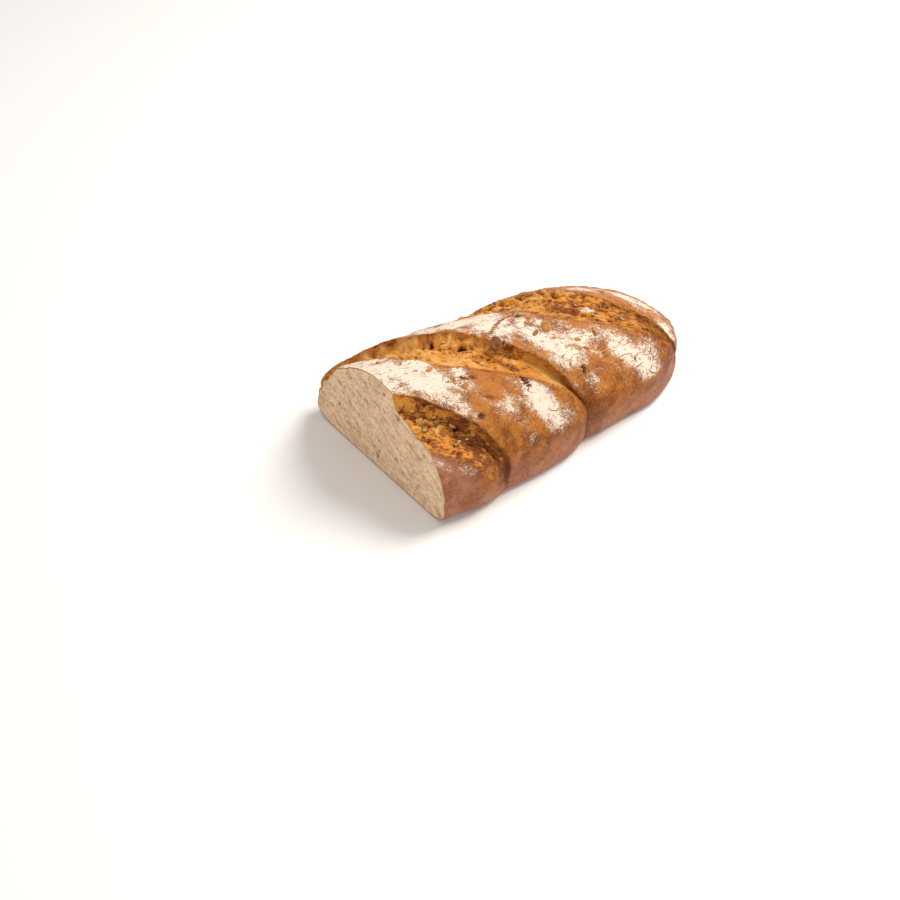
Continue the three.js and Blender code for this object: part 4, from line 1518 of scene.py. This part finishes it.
def make_crumb(look):
    material, tree, surface = new_material("soft_crumb")
    place, lie = own_place(tree), place_on_crust(tree)
    rind, hollow = mask_of(tree, "rind"), mask_of(tree, "hollow")
    flow = put(tree, "ShaderNodeMapping", {"Vector": lie, "Rotation": (0, 0, -CRUMB_LEAN)}).outputs[0]
    flow = vector_sum(tree, "MULTIPLY", flow, DRAWN_CRUMB)
    crumb = baked(tree, look.crumb, look.damp, 0.42, flow, broad=0.26, fine=1.1, contrast=3.4)
    kernels = strokes(tree, lie, scale=0.075, long=0.36, wide=0.2, kept=0.4)
    colour = tinted(tree, crumb["Color"], kernels, 0.3, look.kernel)
    specks = strokes(tree, lie, scale=0.36, long=0.3, wide=0.12, kept=0.36)
    colour = tinted(tree, colour, specks, 0.6, look.bran_and_pore_shade)
    # painted shade in the deeper pores
    colour = tinted(tree, colour, hollow, 0.7, look.bran_and_pore_shade)
    wavy = times_plus(tree, speckle(tree, place, RIND_SCALE), RIND_WAVES, -RIND_WAVES / 2)
    ends, whole = (look.rind_width / MM * part for part in RIND_EDGE)
    colour = blend(tree, remap(tree, sum_up(tree, "ADD", rind, wavy), ends, whole), colour, look.rind)
    height = sum_up(tree, "SUBTRACT", crumb["Height"], times(tree, specks, 0.8))
    finish(tree, surface, colour, 0.88, 0.25, bump(tree, height, strength=0.6, distance=0.0005))
    return material


def make_seed_coat(look):
    material, tree, surface = new_material("seed_coat")
    place, rim, tone = own_place(tree), mask_of(tree, "rim"), mask_of(tree, "tone")
    coat = baked(tree, look.coat, look.dark_coat, tone, place, broad=260.0, fine=1300.0, contrast=1.6)
    edged = tinted(tree, coat["Color"], rim, 0.4, look.edge)
    dusted = floured(tree, edged, look.dust, 0.12, place, grain=1000.0)
    normal = bump(tree, coat["Height"], strength=0.5, distance=0.0004)
    finish(tree, surface, dusted["Color"], 0.5, 0.12, normal)
    return material


def make_flake_crust(look):
    material, tree, surface = new_material("flaked_crust")
    place, rim, tone = own_place(tree), mask_of(tree, "rim"), mask_of(tree, "tone")
    tone = times(tree, tone, 0.7)
    crisp = baked(tree, look.dry, look.toasted, tone, place, broad=160.0, fine=900.0, contrast=2.2)
    burnt = tinted(tree, crisp["Color"], rim, 0.5, look.scorched)
    dusted = floured(tree, burnt, look.flour, 0.2, place, grain=1000.0)
    normal = bump(tree, crisp["Height"], strength=0.6, distance=0.0005)
    finish(tree, surface, dusted["Color"], 0.6, 0.16, normal)
    return material


# ---------------------------------------------------------------- the operators


def add_piece(scene, name, mesh, material):
    """Puts a piece on the loaf's body, with the given material in its first slot."""
    mesh.materials.append(material)
    piece = bpy.data.objects.new(name, mesh)
    scene.collection.objects.link(piece)
    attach(piece, "root")
    return piece


class BREAD_OT_loaf(bpy.types.Operator):
    """Shape the sliced loaf, with its torn bands and its cut face, in place of the plain solid"""

    bl_idname = "bread.loaf"
    bl_label = "Sliced loaf"

    def execute(self, context):
        scene = context.scene
        mesh = build_loaf_mesh(scene.bread_sizes)
        piece = add_piece(scene, "sliced_loaf", mesh, make_crust(scene.bread_crust))
        mesh.materials.append(make_crumb(scene.bread_crumb))
        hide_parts("loaf")
        return {"FINISHED"}


class BREAD_OT_kernels(bpy.types.Operator):
    """Set the kernels and seeds that show into the crust"""

    bl_idname = "bread.kernels"
    bl_label = "Kernels and seeds"

    def execute(self, context):
        scene = context.scene
        add_piece(scene, "kernels", build_kernels(scene.bread_sizes), make_seed_coat(scene.bread_seeds))
        return {"FINISHED"}


class BREAD_OT_flakes(bpy.types.Operator):
    """Raise the curls of thin crust in the torn bands"""

    bl_idname = "bread.flakes"
    bl_label = "Flakes of crust"

    def execute(self, context):
        scene = context.scene
        mesh = build_flakes(scene.bread_sizes)
        add_piece(scene, "crust_flakes", mesh, make_flake_crust(scene.bread_crust))
        return {"FINISHED"}


class BREAD_OT_finishes(bpy.types.Operator):
    """Make the shader groups that the crust, the crumb and the grains share"""

    bl_idname = "bread.finishes"
    bl_label = "Shared finishes"

    def execute(self, context):
        make_flour_group()
        make_strokes_group()
        make_bake_group()
        return {"FINISHED"}


CAMERA_HEADING, CAMERA_RISE = -38.386, 41.995  # degrees
CAMERA_DISTANCE = 748.487 * MM
CAMERA_VIEW = 40.0  # degrees, across the picture
CAMERA_AIM = (24.897, -39.817, 30.0)  # in the loaf's own millimetres
CAMERA_SENSOR = 36  # millimetres
LAMPS = {  # place and size in metres, and tint
    "key": ((0.8, -0.1, 1.2), 0.8, (1.0, 0.97, 0.93)),
    "fill": ((-1.1, -0.9, 0.55), 1.0, (1.0, 0.95, 0.9)),
}
FLOOR_REACH, FLOOR_DROP = 6.0, 0.0002  # metres from the middle to each side, and below the loaf


def add_camera(scene):
    aim = Vector(to_frame(CAMERA_AIM))
    heading, rise = math.radians(CAMERA_HEADING), math.radians(CAMERA_RISE)
    level = math.cos(rise)
    back = Vector((math.sin(heading) * level, -math.cos(heading) * level, math.sin(rise)))
    view = bpy.data.cameras.new("view")
    view.sensor_width = CAMERA_SENSOR
    view.lens = CAMERA_SENSOR / 2 / math.tan(math.radians(CAMERA_VIEW / 2))
    view.clip_start = 0.01
    camera = bpy.data.objects.new("view", view)
    camera.location = aim + back * CAMERA_DISTANCE
    camera.rotation_euler = back.to_track_quat("Z", "Y").to_euler()
    scene.collection.objects.link(camera)
    scene.camera = camera


def add_floor(scene, look):
    mesh = bpy.data.meshes.new("floor")
    signs = ((-1, -1), (1, -1), (1, 1), (-1, 1))
    corners = [(FLOOR_REACH * x, FLOOR_REACH * y, BOX_LOW[2] - FLOOR_DROP) for x, y in signs]
    mesh.from_pydata(corners, [], [range(4)])
    material, tree, surface = new_material("pale_floor")
    feed(tree, surface["Base Color"], look.floor)
    surface["Roughness"].default_value = 0.9
    mesh.materials.append(material)
    floor = bpy.data.objects.new("floor", mesh)
    scene.collection.objects.link(floor)


def add_lamp(scene, name, power):
    place, size, tint = LAMPS[name]
    light = bpy.data.lights.new(name, "AREA")
    light.shape = "DISK"
    light.size, light.energy, light.color = size, power, tint
    lamp = bpy.data.objects.new(name, light)
    lamp.location = place
    lamp.rotation_euler = Vector(place).to_track_quat("Z", "Y").to_euler()
    scene.collection.objects.link(lamp)


def add_sky(scene, strength):
    world = bpy.data.worlds.new("pale_sky")
    world.use_nodes = True
    sky = world.node_tree.nodes["Background"].inputs
    sky["Color"].default_value = (1, 1, 1, 1)
    sky["Strength"].default_value = strength
    scene.world = world


class BREAD_OT_studio(bpy.types.Operator):
    """Set up the floor, the soft lamps, the sky and the camera"""

    bl_idname = "bread.studio"
    bl_label = "Studio"

    def execute(self, context):
        scene, look = context.scene, context.scene.bread_studio
        add_camera(scene)
        add_floor(scene, look)
        for name in LAMPS:
            add_lamp(scene, name, getattr(look, name))
        add_sky(scene, look.sky)
        scene.view_settings.view_transform = "Standard"
        return {"FINISHED"}


class BREAD_PT_panel(bpy.types.Panel):
    """The loaf's operators, in the order in which they run"""

    bl_idname = "BREAD_PT_panel"
    bl_label = "Walnut bread"
    bl_space_type = "VIEW_3D"
    bl_region_type = "UI"
    bl_category = "Bread"

    def draw(self, context):
        for operator in OPERATORS:
            self.layout.operator(operator.bl_idname)
        for name in LOOKS:
            box = self.layout.box()
            group = getattr(context.scene, name)
            for key in group.bl_rna.properties.keys():
                if key not in {"rna_type", "name"}:
                    box.prop(group, key)


OPERATORS = (BREAD_OT_finishes, BREAD_OT_loaf, BREAD_OT_kernels, BREAD_OT_flakes, BREAD_OT_studio)
LOOKS = {
    "bread_sizes": LoafSizes,
    "bread_crust": CrustLook,
    "bread_crumb": CrumbLook,
    "bread_seeds": SeedLook,
    "bread_studio": StudioLook,
}


def register():
    for each in (*LOOKS.values(), *OPERATORS, BREAD_PT_panel):
        bpy.utils.register_class(each)
    for name, group in LOOKS.items():
        setattr(bpy.types.Scene, name, PointerProperty(type=group))


def unregister():
    for name in LOOKS:
        delattr(bpy.types.Scene, name)
    for each in (BREAD_PT_panel, *reversed(OPERATORS), *reversed(list(LOOKS.values()))):
        bpy.utils.unregister_class(each)


def main():
    register()
    bpy.ops.bread.finishes()
    bpy.ops.bread.loaf()
    bpy.ops.bread.kernels()
    bpy.ops.bread.flakes()
    bpy.ops.bread.studio()


if __name__ == "__main__":
    main()
